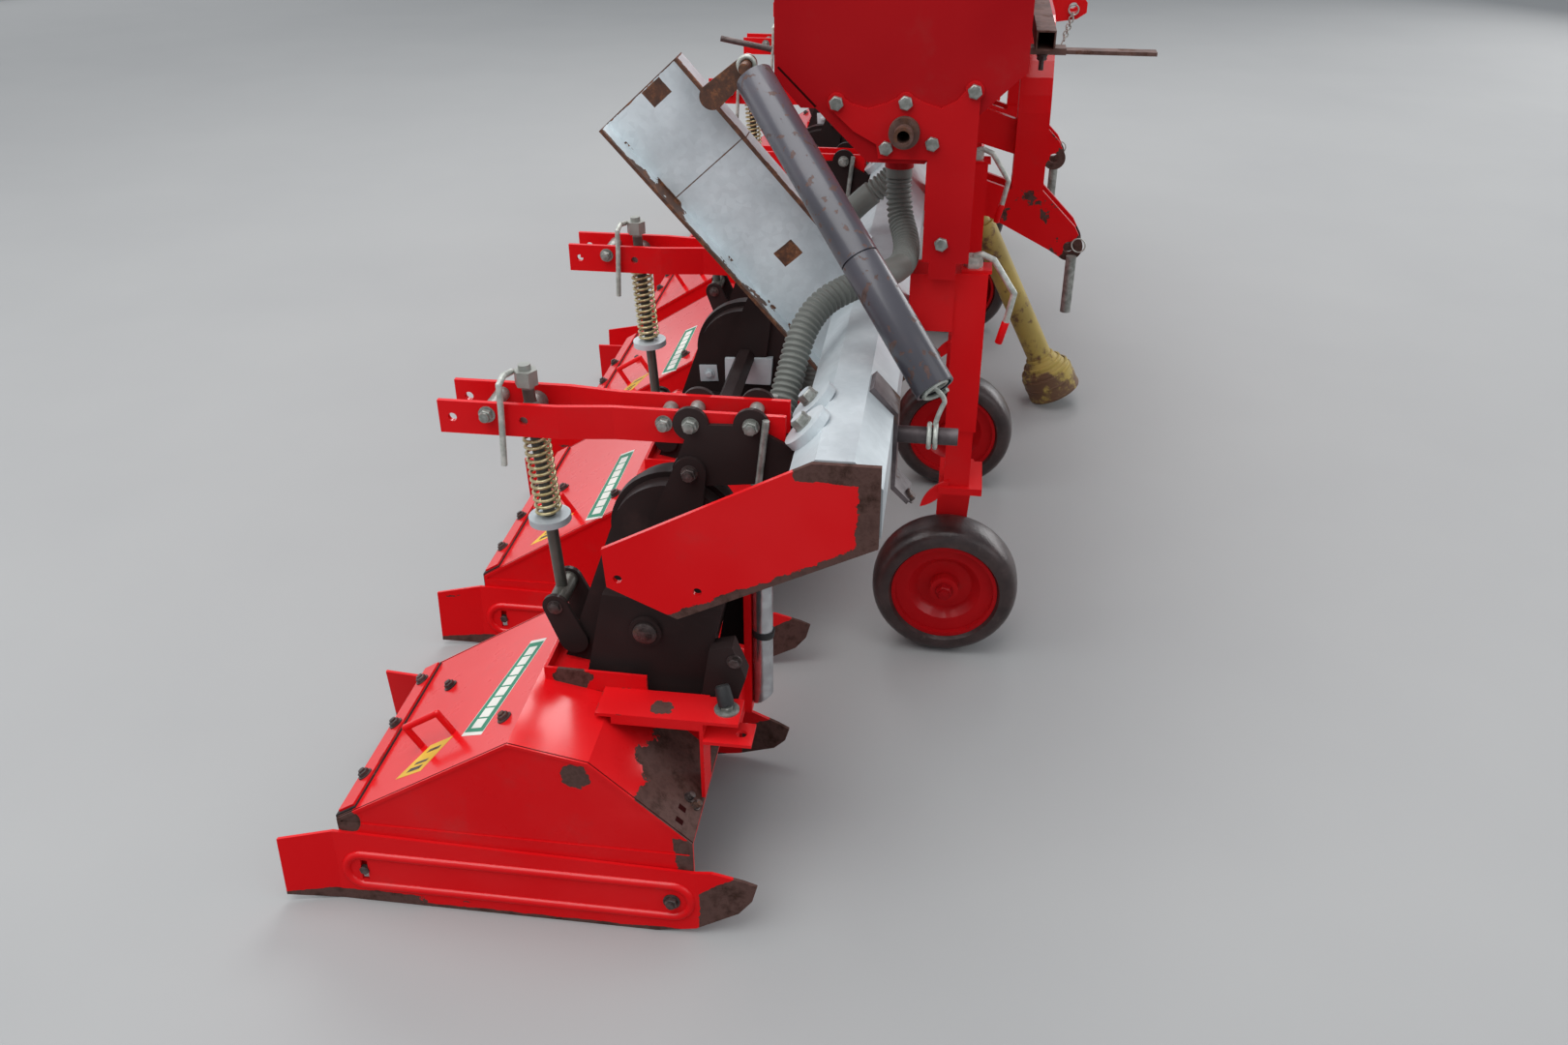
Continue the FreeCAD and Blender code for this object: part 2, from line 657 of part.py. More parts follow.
def on_slope(along, off):
    """Point in the rear slope's own axes: along it from the rear edge, and off its face."""
    (ax, az), (bx, bz) = HOOD_PROFILE[:2]
    run = math.hypot(bx - ax, bz - az)
    ux, uz = (bx - ax) / run, (bz - az) / run
    return (ax + ux * along - uz * off, az + uz * along + ux * off)


def hood_fittings():
    """U handle and the clamp strip of the rubber flap on each hood's rear slope."""
    parts = []
    for k in range(ROWS):
        y0, y1 = hood_span(k)
        strip = prism([on_slope(4, FLAP_T), on_slope(4, FLAP_T + 4), on_slope(38, FLAP_T + 4),
                       on_slope(38, FLAP_T)], y0 + 12, y1 - 12)
        y = row_y(k) - HANDLE_DY if k < ROWS - 1 else row_y(k) + HANDLE_DY
        feet = [on_slope(a, 0.0) for a in HANDLE_ALONG]
        tops = [on_slope(a, HANDLE_OFF) for a in HANDLE_ALONG]
        route = [(feet[0][0], y, feet[0][1]), (tops[0][0], y, tops[0][1]), (tops[1][0], y, tops[1][1]),
                 (feet[1][0], y, feet[1][1])]
        parts += [strip, bent_rod(route, HANDLE_R)]
    return parts


def hood_flaps():
    """Rubber sheet clamped on each hood's rear edge and hanging behind it."""
    x = HOOD_PROFILE[0][0]
    outline = [(x, HOOD_PROFILE[0][1]), on_slope(40, 0), on_slope(40, FLAP_T), on_slope(0, FLAP_T),
               (x - 4.5, HOOD_PROFILE[0][1]), (x - 4.5, FLAP_LOW), (x - 0.5, FLAP_LOW),
               (x - 0.5, HOOD_PROFILE[0][1] - 1)]
    flaps = []
    for k in range(ROWS):
        y0, y1 = hood_span(k)
        flaps.append(prism(outline, y0 + 8, y1 - 8))
    return flaps


def clevises():
    """Black plates on the chain case that hold the foot of the spring rod."""
    plates = []
    for k in range(ROWS):
        plate = hull_plate(ROD_LOW, 22.0, (-241.0, 392.0), 25.0, CASE_HALF, CASE_HALF + 8)
        plate = plate.cut(y_rod(ROD_LOW[0], ROD_LOW[1], CASE_HALF - 1, CASE_HALF + 9, BOLT_R + 0.3))
        for one in both_ends(plate):
            one.translate(V(0, row_y(k), 0))
            plates.append(one)
    return plates


def on_rod(z):
    t = (z - ROD_LOW[1]) / (ROD_TOP[1] - ROD_LOW[1])
    return ROD_LOW[0] + t * (ROD_TOP[0] - ROD_LOW[0])


def spring_rods():
    """Rod with its foot eye, top nut and the fixed cup that the spring pushes on."""
    rods = []
    for k in range(ROWS):
        y = row_y(k)
        low = (ROD_LOW[0], y, ROD_LOW[1])
        stem = rod(low, (ROD_TOP[0], y, ROD_TOP[1]), ROD_R)
        eye = y_rod(ROD_LOW[0], ROD_LOW[1], y - CASE_HALF + 0.3, y + CASE_HALF - 0.3, EYE_R)
        pin = y_rod(ROD_LOW[0], ROD_LOW[1], y - CASE_HALF - 14, y + CASE_HALF + 14, BOLT_R)
        corners = [(on_rod(860) + 19 * math.cos(math.radians(60 * i)),
                    y + 19 * math.sin(math.radians(60 * i))) for i in range(6)]
        nut = plan_prism(corners, 846, 871)
        rods.append(stem.fuse([eye, pin, nut]).removeSplitter())
    return rods


def rod_levers():
    """Bent lever on each rod's nut; it hangs down beside the arm."""
    levers = []
    for k in range(ROWS):
        y = row_y(k)
        levers.append(bent_rod([(on_rod(860) - 24, y + 4, 864), (-317, y - 30, 872), (-318, y - 52, 866),
                                (-319, y - 53, 820), (-324, y - 53, 728)], 5.0))
    return levers


def spring_cups():
    cups = []
    for k in range(ROWS):
        y = row_y(k)
        z0 = SPRING_Z[0] - CUP_H
        z1 = SPRING_Z[0] - 0.3
        cups.append(pipe((on_rod(z0), y, z0), (on_rod(z1), y, z1), CUP_R, ROD_R + 0.3))
    return cups


def springs():
    coils = []
    for k in range(ROWS):
        y = row_y(k)
        z0, z1 = SPRING_Z
        coils.append(pipe((on_rod(z0), y, z0), (on_rod(z1), y, z1), SPRING_OUT_R, SPRING_IN_R))
    return coils


def trunnions():
    """Cross blocks between the arm plates that the spring rods slide through."""
    blocks = []
    z = ARM_Z + ARM_H / 2
    for k in range(ROWS):
        y = row_y(k)
        block = y_rod(on_rod(z), z, y - ARM_WIDE + 0.3, y + ARM_WIDE - 0.3, TRUNNION_R)
        seat_low, seat_top = SPRING_Z[1] + 0.3, z
        seat = rod((on_rod(seat_low), y, seat_low), (on_rod(seat_top), y, seat_top), 21.0)
        bore = rod((on_rod(700), y, 700), (on_rod(860), y, 860), ROD_R + 0.3)
        blocks.append(block.fuse(seat).cut(bore))
    return blocks


def blade(y, out, angle):
    """L-shaped tine: a radial leg on the flange and a foot turned outward along the rotor."""
    leg = box(34, ROTOR_R - 12, y, y + 8 * out, -16, 16) if out > 0 else box(34, ROTOR_R - 12, y - 8, y, -16, 16)
    y0, y1 = sorted((y, y + 52 * out))
    foot = box(ROTOR_R - 18, ROTOR_R - 8, y0, y1, -22, 18)
    tine = leg.fuse(foot)
    tine.rotate(V(0, 0, 0), V(0, 1, 0), angle)
    return tine


def rotor(k):
    """Rotor of row k: round shaft through the case, flanges and L tines."""
    y0, y1 = hood_span(k)
    yc = row_y(k)
    lo, hi = y0 + HOOD_T + 8, y1 - HOOD_T - 8
    pieces = [y_rod(0, 0, lo, hi, ROTOR_SHAFT_R)]
    for out, end in ((-1.0, lo), (1.0, hi)):
        first = yc + out * (CASE_HALF + 6)
        room = abs(end - first)
        count = 2 if room > 150 else 1
        for i in range(count):
            y = first + out * (12 + i * (room - 62) if count > 1 else 12)
            ya, yb = sorted((y, y - 10 * out))
            pieces.append(y_rod(0, 0, ya, yb, 58.0))
            for n in range(4):
                pieces.append(blade(y, out, 90 * n + 45 * i + 20))
    whole = pieces[0].fuse(pieces[1:]).removeSplitter()
    whole.translate(V(ROTOR_X, 0, ROTOR_Z))
    return [whole]


def wheel_y(i):
    return LEG_YS[i] - math.copysign(WHEEL_INSET, LEG_YS[i])


def wheel_legs():
    """Outer socket on the beam, sliding inner tube, foot plate and one-sided fork."""
    sockets, stems = [], []
    half, hole = LEG_OUT / 2, LEG_OUT / 2 - LEG_WALL
    for i, y in enumerate(LEG_YS):
        out = math.copysign(1.0, y)
        socket = box(LEG_X - half, LEG_X + half, y - half, y + half, *LEG_Z)
        bracket = box(BEAM_FRONT, LEG_X - half, y - half - 10, y + half + 10, LEG_BRACKET_Z, SOCKET_TOP)
        cap = box(LEG_X - 20, LEG_X + 36, y - 24, y + 24, LEG_Z[1] - 0.5, LEG_Z[1] + 6)
        socket = socket.cut(box(LEG_X - hole, LEG_X + hole, y - hole, y + hole, LEG_Z[0] - 1, LEG_Z[1] - 0.5))
        socket = socket.fuse([bracket, cap]).removeSplitter()
        sockets.append(socket)
        r = hole - LEG_GAP
        stem = box(LEG_X - r, LEG_X + r, y - r, y + r, *INNER_Z)
        wy = wheel_y(i)
        inner = wy - out * (TYRE_W / 2 + 12)
        ya, yb = sorted((inner, y + out * (half + 5)))
        foot = box(LEG_X - 35, LEG_X + 52, ya, yb, INNER_Z[0] - FOOT_T, INNER_Z[0])
        fa, fb = sorted((inner, inner - out * FORK_T))
        plate = hull_plate((WHEEL_X, TYRE_R), 30.0, (LEG_X, INNER_Z[0] - 45), 35.0, fa, fb)
        top = box(LEG_X - 35, LEG_X + 35, fa, fb, INNER_Z[0] - 50, INNER_Z[0])
        aa, ab = sorted((inner, wy + out * 34))
        axle = y_rod(WHEEL_X, TYRE_R, aa, ab, AXLE_R)
        la, lb = sorted((y + out * (r - 1), y + out * (r + 5)))
        leaf = y_rod(402, 357, la, lb, 80.0).common(y_rod(301, 447, la, lb, 80.0))
        stems.append(stem.fuse([foot, plate, top, axle, leaf]).removeSplitter())
    return sockets, stems


def leg_cranks():
    """Nut and bent crank on top of each leg's height spindle."""
    cranks = []
    for y in LEG_YS:
        corners = [(CRANK[0][0] + 18 * math.cos(math.radians(60 * i)),
                    y + 18 * math.sin(math.radians(60 * i))) for i in range(6)]
        nut = plan_prism(corners, LEG_Z[1] + 6, LEG_Z[1] + 26)
        handle = bent_rod([(x, y, z) for x, z in CRANK], CRANK_R)
        cranks.append(nut.fuse(handle))
    return cranks


def tyre(i):
    """Smooth solid tyre with rounded shoulders."""
    y = wheel_y(i)
    h, r, seat = TYRE_W / 2, TYRE_R, RIM_R
    section = [(seat, -h + 8), (r - 22, -h), (r - 6, -h + 16), (r, -h + 34), (r, h - 34),
               (r - 6, h - 16), (r - 22, h), (seat, h - 8)]
    wire = Part.makePolygon([V(WHEEL_X + a, y + b, TYRE_R) for a, b in section + section[:1]])
    return [Part.Face(wire).revolve(V(WHEEL_X, 0, TYRE_R), V(0, 1, 0), 360)]


def rim(i):
    """Dished steel disc with a hub tube that turns on the leg's axle."""
    y = wheel_y(i)
    out = math.copysign(1.0, y)
    h, seat = TYRE_W / 2, RIM_R
    bore = AXLE_R + 0.05
    section = [(bore, -34), (30, -34), (30, 2), (62, 2), (80, 20), (seat - 8, 24), (seat - 8, -h + 8),
               (seat, -h + 8), (seat, h - 8), (seat - 8, h - 8), (seat - 8, 30), (76, 26), (58, 8),
               (30, 8), (30, 33), (bore, 33)]
    wire = Part.makePolygon([V(WHEEL_X + a, y + b * out, TYRE_R) for a, b in section + section[:1]])
    return [Part.Face(wire).revolve(V(WHEEL_X, 0, TYRE_R), V(0, 1, 0), 360)]


def hopper_outline():
    c, w = HOPPER_X, HOPPER_HALF_W
    return [(c - TROUGH_HALF, HOPPER_LOW), (c - w, HOPPER_BREAK), (c - w, HOPPER_TOP),
            (c + w, HOPPER_TOP), (c + w, HOPPER_BREAK), (c + TROUGH_HALF, HOPPER_LOW)]


def hopper():
    """Open-topped sheet hopper with a sloped bottom and a short outlet spout per row."""
    outer = hopper_outline()
    inner = inset(outer, HOPPER_T)
    inner[2] = (inner[2][0], HOPPER_TOP + 1)
    inner[3] = (inner[3][0], HOPPER_TOP + 1)
    tub = prism(outer, -HOPPER_HALF_L, HOPPER_HALF_L)
    tub = tub.cut(prism(inner, -HOPPER_HALF_L + HOPPER_T, HOPPER_HALF_L - HOPPER_T))
    tub = tub.cut(y_rod(METER_X, METER_Z, -HOPPER_HALF_L - 1, HOPPER_HALF_L + 1, METER_R + SHAFT_GAP))
    rear = HOPPER_X - HOPPER_HALF_W
    skirt = prism([(rear, HOPPER_BREAK), (rear, HOPPER_BREAK - 20), (rear + 46, 1165), (rear + 98, 1165),
                   (rear + 98, HOPPER_BREAK - 60)], -HOPPER_HALF_L, HOPPER_T - HOPPER_HALF_L)
    spouts = []
    for k in range(ROWS):
        y = outlet_y(k)
        spouts.append(rod((HOPPER_X, y, HOPPER_LOW - OUTLET_H), (HOPPER_X, y, HOPPER_LOW + 1), OUTLET_R))
    inside = prism(inner, -HOPPER_HALF_L + HOPPER_T, HOPPER_HALF_L - HOPPER_T)
    skirts = [one.cut(inside) for one in both_ends(skirt)]
    return [tub.fuse(spouts + skirts).removeSplitter()]


def outlet_y(k):
    """Rows are fed from spouts spread along the hopper, the outermost from near its ends."""
    from_middle = k - ROWS // 2 if side(k) > 0 else ROWS // 2 - 1 - k
    return side(k) * HOPPER_HALF_L * OUTLET_SHARES[from_middle]


def hopper_lid():
    """Flat lid with a folded rim, hinged along the hopper's front top edge."""
    c, w, l = HOPPER_X, HOPPER_HALF_W + LID_GAP + LID_T, HOPPER_HALF_L + LID_GAP + LID_T
    top = HOPPER_TOP + LID_GAP + LID_T
    outer = box(c - w, c + w, -l, l, top - LID_RIM, top)
    inner = box(c - w + LID_T, c + w + 1, -l + LID_T, l - LID_T, top - LID_RIM - 1, top - LID_T)
    lid = outer.cut(inner)
    x, z = HINGE_DX + c + HOPPER_HALF_W, HOPPER_TOP - HINGE_DROP
    leaves = []
    for y in HINGE_YS:
        y0, y1 = y + KNUCKLE_HALF + 0.3, y + KNUCKLE_HALF + 40
        leaves.append(y_rod(x, z, y0, y1, KNUCKLE_R))
        leaves.append(box(c + w - 1, x, y0, y1, top - LID_T, top))
        leaves.append(box(x - 3, x + 3, y0, y1, z, top))
    return [lid.fuse(leaves).removeSplitter()]


def lid_hinge():
    """Hinge rod in three knuckles on the hopper's front wall."""
    wall = HOPPER_X + HOPPER_HALF_W
    x, z = wall + HINGE_DX, HOPPER_TOP - HINGE_DROP
    knuckles = []
    for y in HINGE_YS:
        knuckle = y_rod(x, z, y - KNUCKLE_HALF, y + KNUCKLE_HALF, KNUCKLE_R)
        plate = box(wall, x, y - KNUCKLE_HALF, y + KNUCKLE_HALF, z - 30, z)
        knuckles.append(knuckle.fuse(plate))
    return knuckles


def metering_shaft():
    """Hollow shaft through the trough, with a collar outside each bracket."""
    reach = HOPPER_HALF_L + 8 + 40
    shaft = pipe((METER_X, -reach, METER_Z), (METER_X, reach, METER_Z), METER_R, METER_BORE)
    y = HOPPER_HALF_L + 8
    collar = pipe((METER_X, y, METER_Z), (METER_X, y + 16, METER_Z), 27.0, METER_R)
    return [shaft.fuse(both_ends(collar))]


def hopper_stands():
    """Scalloped end bracket, folded column and the box that sits on the beam."""
    y0 = -HOPPER_HALF_L - 8
    y1 = -HOPPER_HALF_L
    c = HOPPER_X
    plate = prism([(139, 1192), (166, 1175), (194, 1168), (225, 1178), (258, 1196), (292, 1180), (319, 1172),
                   (345, 1186), (370, 1216), (384, 1200), (384, 900), (300, 900), (300, 1084), (214, 1084),
                   (210, 1108), (169, 1130), (127, 1168)], y0, y1)
    plate = plate.fuse([y_rod(x, z, y0, y1, 16.0) for x, z in STAND_BOLTS[:3]])
    plate = plate.cut(y_rod(METER_X, METER_Z, y0 - 1, y1 + 1, METER_R + SHAFT_GAP))
    front = LEG_X - LEG_OUT / 2 - 1
    column = box(c + 68, front, y0, y0 + 78, SOCKET_TOP, 1062.0)
    column = column.cut(box(c + 60, front - 8, y0 + 8, y0 + 79, 860.0, 1070.0))
    rise = (HOPPER_BREAK - HOPPER_LOW) / (HOPPER_HALF_W - TROUGH_HALF)
    low_z = [HOPPER_LOW + (x - c - TROUGH_HALF) * rise for x in (c + 68, front)]
    middle = [(c + 68, SOCKET_TOP), (front, SOCKET_TOP), (front, low_z[1]), (c + 68, low_z[0])]
    posts = []
    for y in LEG_YS[1:-1]:
        posts.append(prism(middle, y - 20, y + 20))
    return both_ends(plate.fuse(column).removeSplitter()) + posts


def channel_arms():
    """Galvanised channel that leans back over the beam, with the tube's upper pin."""
    y0 = -CHANNEL_Y
    (ax, az), (bx, bz) = CHANNEL_TOP
    run = CHANNEL_L
    ux, uz = (bz - az), -(bx - ax)
    norm = math.hypot(ux, uz)
    ux, uz = ux / norm, uz / norm
    corners = [(ax, az), (bx, bz), (bx + ux * run, bz + uz * run), (ax + ux * run, az + uz * run)]
    nx, nz = (bx - ax) / norm * CHANNEL_T, (bz - az) / norm * CHANNEL_T
    web = prism(corners, y0, y0 + CHANNEL_T)
    flanges = []
    for (px, pz), (qx, qz), s in ((corners[0], corners[3], 1.0), (corners[1], corners[2], -1.0)):
        strip = [(px, pz), (qx, qz), (qx + nx * s, qz + nz * s), (px + nx * s, pz + nz * s)]
        flanges.append(prism(strip, y0 - CHANNEL_FLANGE, y0 + CHANNEL_T))
    pin_x, pin_z = tube_point(1.0, 26.0)[0::2]
    foot = (pin_x - nx * 14, pin_z - nz * 14)
    lug = hull_plate((pin_x, pin_z), 16.0, foot, 22.0, y0 - CHANNEL_FLANGE, y0 - CHANNEL_FLANGE + 8)
    pin = y_rod(pin_x, pin_z, y0 - CHANNEL_FLANGE - 42, y0 - CHANNEL_FLANGE + 8, 9.0)
    channel = web.fuse(flanges + [lug, pin]).cut(prism(beam_outline(), y0 - 100, y0 + 100))
    return both_ends(max(channel.Solids, key=lambda piece: piece.Volume).removeSplitter())


def tube_point(t, beyond=0.0):
    """Point on the right-hand tube's axis, t from its lower to its upper end."""
    (x0, y0, z0), (x1, y1, z1) = TUBE_LOW, TUBE_TOP
    length = math.sqrt((x1 - x0) ** 2 + (y1 - y0) ** 2 + (z1 - z0) ** 2)
    t += beyond / length
    return (x0 + t * (x1 - x0), -y0 - t * (y1 - y0), z0 + t * (z1 - z0))


def spring_tubes():
    """Tube round the balance spring, with the spring's hooks on the stub and the pin."""
    tube = rod(tube_point(0.0), tube_point(1.0), TUBE_R)
    x, y, z = tube_point(0.0)
    low = Part.makeTorus(STUB_R + 1 + HOOK_R, HOOK_R, V(x, -TUBE_LOW[1], STUB_Z), V(1, 0, 0))
    low_stem = rod((x, -TUBE_LOW[1], STUB_Z + STUB_R + 1 + HOOK_R), (x, y, z + 8), HOOK_R)
    px, py, pz = tube_point(1.0, 26.0)
    high = Part.makeTorus(9.0 + 1 + HOOK_R, HOOK_R, V(px, py, pz), V(0, 1, 0))
    high_stem = rod(tube_point(1.0, -4.0), tube_point(1.0, 13.0), HOOK_R)
    return both_ends(tube.fuse([low, low_stem, high, high_stem]).removeSplitter())


def beam_stubs():
    """Rusty clamp on the beam's front with the stub that holds the tube's lower hook."""
    y = -TUBE_LOW[1]
    stub = rod((BEAM_FRONT, y, STUB_Z), (BEAM_FRONT + 103, y, STUB_Z), STUB_R)
    shoulder = BEAM_TOP - BEAM_BEVEL
    t = CLAMP_T
    clamp = prism([(BEAM_FRONT - 40, shoulder + 40), (BEAM_FRONT - 40 + t, shoulder + 40 + t),
                   (BEAM_FRONT + t, shoulder + 3), (BEAM_FRONT + t, 668), (BEAM_FRONT + 32, 642),
                   (BEAM_FRONT + 27, 636), (BEAM_FRONT, 663), (BEAM_FRONT, shoulder)], y - 32, y + 32)
    return both_ends(clamp.fuse(stub).removeSplitter())


def fertiliser_pipes():
    pipes = []
    for k in range(ROWS):
        y = row_y(k) - side(k) * PIPE_DY
        x = SHANK[1] + PIPE_R + 0.2
        tube = pipe((x, y, PIPE_Z[0]), (x, y, PIPE_Z[1]), PIPE_R, PIPE_BORE)
        wedge = prism([(x - 30, PIPE_Z[0] - 5), (x + 30, PIPE_Z[0] - 5), (x + 30, PIPE_Z[0] + 35)], y - 30, y + 30)
        pipes.append(tube.cut(wedge))
    return pipes


def shanks():
    bars = []
    for k in range(ROWS):
        y = row_y(k) - side(k) * PIPE_DY
        bars.append(box(SHANK[0], SHANK[1], y - SHANK_HALF, y + SHANK_HALF, *SHANK_Z))
    return bars


def hose_points(k):
    """Route of row k's hose from its spout to the top of its pipe."""
    s = side(k)
    x0, y0, z0 = HOPPER_X, outlet_y(k), HOPPER_LOW - OUTLET_H
    x1, y1, z1 = SHANK[1] + PIPE_R + 0.2, row_y(k) - s * PIPE_DY, PIPE_Z[1]
    if k in (0, ROWS - 1):
        past = s * (CHANNEL_Y + 155)
        near = [(272, y0 + 0.246 * (past - y0), 903), (266, y0 + 0.59 * (past - y0), 893), (205, past, 915)]
        far = [(x, past + share * (y1 - past), z)
               for x, share, z in ((118, 0.237, 884), (94, 0.576, 780), (76, 0.88, 690))]
        return [(x0, y0, z0), (x0, y0, 950)] + near + far + [(x1, y1, 600), (x1, y1, z1)]
    step = y1 - y0
    return [(x0, y0, z0), (x0, y0, 970), (160, y0 + 0.1 * step, 905), (98, y0, 830),
            (84, y0 + 0.15 * step, 700), (x1, y1, 590), (x1, y1, z1)]


def hoses():
    return [[cord_tube(hose_points(k), HOSE_R)] for k in range(ROWS)]


def ear(y0, y1):
    """Lower-link ear plate from the beam's front face to the bore for the link pin."""
    x, z = LINK_BORE
    outline = [(BEAM_FRONT, BEAM_TOP - 45), (400, 800), (ARCH_X[0], ARCH_FOOT), (ARCH_X[1], ARCH_FOOT),
               (x + 10, z + 52), (x + 28, z + 19), (x - 12, z - 32), (x - 47, z - 10), (436, 703),
               (BEAM_FRONT, BEAM_LOW + 10)]
    plate = prism(outline, y0, y1).fuse(y_rod(x, z, y0, y1, EAR_TIP_R)).removeSplitter()
    return plate.cut(y_rod(LINK_BORE[0], LINK_BORE[1], y0 - 1, y1 + 1, LINK_BORE_R))


def lower_ears():
    ears = []
    for s in (-1.0, 1.0):
        for out in (-1.0, 1.0):
            a = s * EAR_Y + out * EAR_HALF_GAP
            y0, y1 = sorted((a, a + out * EAR_T))
            ears.append(ear(y0, y1))
    return ears


def hung_pins():
    """Lower-link pins, hanging on the outer ears while no tractor is coupled."""
    pins = []
    for s in (-1.0, 1.0):
        y = s * (EAR_Y + EAR_HALF_GAP + EAR_T + HUNG_PIN_R + 0.3)
        top = LINK_BORE[1] - LINK_BORE_R - 4
        x = LINK_BORE[0] + 8
        pins.append(rod((x, y, top - HUNG_PIN_L), (x, y, top), HUNG_PIN_R))
    return pins


def arch():
    """Arched box frame of the hitch that stands on the ears and carries the top link."""
    y = EAR_Y + EAR_HALF_GAP + EAR_T
    w, turn = ARCH_WALL, ARCH_TURN

    def half(reach, radius, low):
        arc = [(reach - radius + radius * math.cos(math.radians(a)),
                ARCH_SHOULDER + radius * math.sin(math.radians(a))) for a in range(0, 91, 10)]
        right = [(reach, low)] + arc
        return right + [(-across, up) for across, up in reversed(right)]

    outer = half(y, turn, ARCH_FOOT)
    inner = half(y - w, turn - w, ARCH_FOOT - 1)
    frame = end_prism(outer, *ARCH_X).cut(end_prism(inner, ARCH_X[0] - 1, ARCH_X[1] + 1))
    feet = []
    for s in (-1.0, 1.0):
        a, b = sorted((s * (EAR_Y - EAR_HALF_GAP - EAR_T), s * y))
        feet.append(box(ARCH_X[0], ARCH_X[1], a, b, ARCH_FOOT, ARCH_FOOT + 12))
    lugs = []
    for out in (-1.0, 1.0):
        a, b = sorted((out * TOP_HALF_GAP, out * (TOP_HALF_GAP + 12)))
        x, z = TOP_LINK
        lug = prism([(ARCH_X[1], z - 38), (x + 10, z - 28), (x + 34, z - 12), (x + 34, z + 12),
                     (x + 28, z + 20), (ARCH_X[1], z + 20)], a, b)
        lugs.append(lug.cut(y_rod(TOP_LINK[0], TOP_LINK[1], a - 1, b + 1, TOP_PIN_R)))
    return [frame.fuse(feet + lugs).removeSplitter()]


def braces():
    """Straps and struts from the arch back to posts on top of the beam."""
    struts = []
    front = ARCH_X[0]
    for s in (-1.0, 1.0):
        y0, y1 = sorted((s * 412.0, s * 430.0))
        post = box(225, 250, y0, y1, BEAM_TOP, 1000)
        strap = prism([(245, 1012), (front, 934), (front, 852), (245, 920)], y0, y1)
        strut = rod((232, s * 421.0, BEAM_TOP + 9), (front - 5, s * 421.0, 900), 9.0)
        struts.append(post.fuse([strap, strut]).removeSplitter())
    return struts


def gearbox():
    """Bevel gearbox under the beam, on the drive shaft, with its input stub."""
    drum = y_rod(DRIVE_X, DRIVE_Z, -80, 80, 92.0)
    drum = drum.fuse(y_rod(DRIVE_X, DRIVE_Z, -GEARBOX_HALF, GEARBOX_HALF, 50.0))
    nose = box(DRIVE_X, 190, -65, 65, DRIVE_Z - 70, DRIVE_Z + 70)
    neck = rod((180, 0, DRIVE_Z), (330, 0, DRIVE_Z), 48.0)
    stub = rod((320, 0, DRIVE_Z), (PTO_X, 0, DRIVE_Z), SPLINE_R)
    knuckle = Part.makeSphere(PTO_FORK - PTO_PLAY, V(PTO_X, 0, DRIVE_Z))
    mount = box(BEAM_REAR, BEAM_FRONT, -70, 70, BEAM_LOW - 12, BEAM_LOW)
    hanger = box(BEAM_REAR, 190, -60, 60, DRIVE_Z + 60, BEAM_LOW - 6)
    solid = drum.fuse([nose, neck, stub, knuckle, mount, hanger]).removeSplitter()
    return [solid.cut(y_rod(DRIVE_X, DRIVE_Z, -GEARBOX_HALF - 1, GEARBOX_HALF + 1, DRIVE_BORE))]


def pto_point(s):
    a = math.radians(PTO_DROP)
    return (PTO_X + math.cos(a) * s, 0.0, DRIVE_Z - math.sin(a) * s)


def pto_shaft():
    """Guarded shaft hinged on the gearbox's stub; its open cup rests on the ground."""
    a = math.radians(PTO_DROP)
    along = V(math.cos(a), 0, -math.sin(a))
    tube = rod(pto_point(70), pto_point(PTO_L - 120), PTO_TUBE_R)
    cone = Part.makeCone(PTO_TUBE_R, PTO_CONE_R, 60, V(*pto_point(PTO_L - 125)), along)
    cup = rod(pto_point(PTO_L - PTO_CUP_L), pto_point(PTO_L), PTO_CONE_R)
    cup = cup.cut(rod(pto_point(PTO_L - PTO_CUP_L + 6), pto_point(PTO_L + 1), PTO_CONE_R - 5))
    yoke = pipe(pto_point(PTO_L - YOKE_L), pto_point(PTO_L), 29.0, SPLINE_R)
    fork = rod(pto_point(PTO_FORK), pto_point(71), 26.0)
    return [tube.fuse([cone, cup, yoke, fork]).removeSplitter()]


def front_rail():
    """Rusty square tube in front of the hopper on short brackets."""
    x0 = HOPPER_X + HOPPER_HALF_W
    top = HOPPER_BREAK + 18
    half = HOPPER_HALF_L - RAIL_INSET
    t = RAIL_T
    x1 = x0 + RAIL_GAP
    low = top - RAIL_W
    tube = box(x1, x1 + RAIL_W, -half, half, low, top)
    tube = tube.cut(box(x1 + t, x1 + RAIL_W - t, -half - 1, half + 1, low + t, top - t))
    stays = [box(x0, x1, y - 25, y + 25, top - 9, top) for y in (190 - half, 0.0, half - 190)]
    pad = box(x0, x0 + 81, 28 - half, 68 - half, low - 12, low)
    strip = box(x0 + 81, x0 + 249, 33 - half, 63 - half, low - 11, low - 4)
    return [tube.fuse(stays + [pad, strip]).removeSplitter()]


save("beam", beam())
save("end_plates", end_plates())
save("spring_arms", arms())
save("arm_brackets", arm_brackets())
save("shaft_hangers", shaft_hangers())
save("arm_bolts", arm_bolts())
save("adjust_discs", adjust_discs())
save("drive_cases", drive_cases())
save("drive_shaft", drive_shaft())
save("hoods", hoods())
save("skids", skids())
save("hood_brackets", hood_brackets())
save("hood_fittings", hood_fittings())
save("hood_flaps", hood_flaps())
save("clevises", clevises())
save("spring_rods", spring_rods())
save("rod_levers", rod_levers())
save("spring_cups", spring_cups())
save("springs", springs())
save("trunnions", trunnions())
for row in range(ROWS):
    save("rotor_%d" % (row + 1), rotor(row))
leg_sockets, leg_stems = wheel_legs()
save("leg_sockets", leg_sockets)
save("leg_stems", leg_stems)
save("leg_cranks", leg_cranks())
for wheel in range(len(LEG_YS)):
    save("tyre_%d" % (wheel + 1), tyre(wheel))
    save("rim_%d" % (wheel + 1), rim(wheel))
save("hopper", hopper())
save("hopper_lid", hopper_lid())
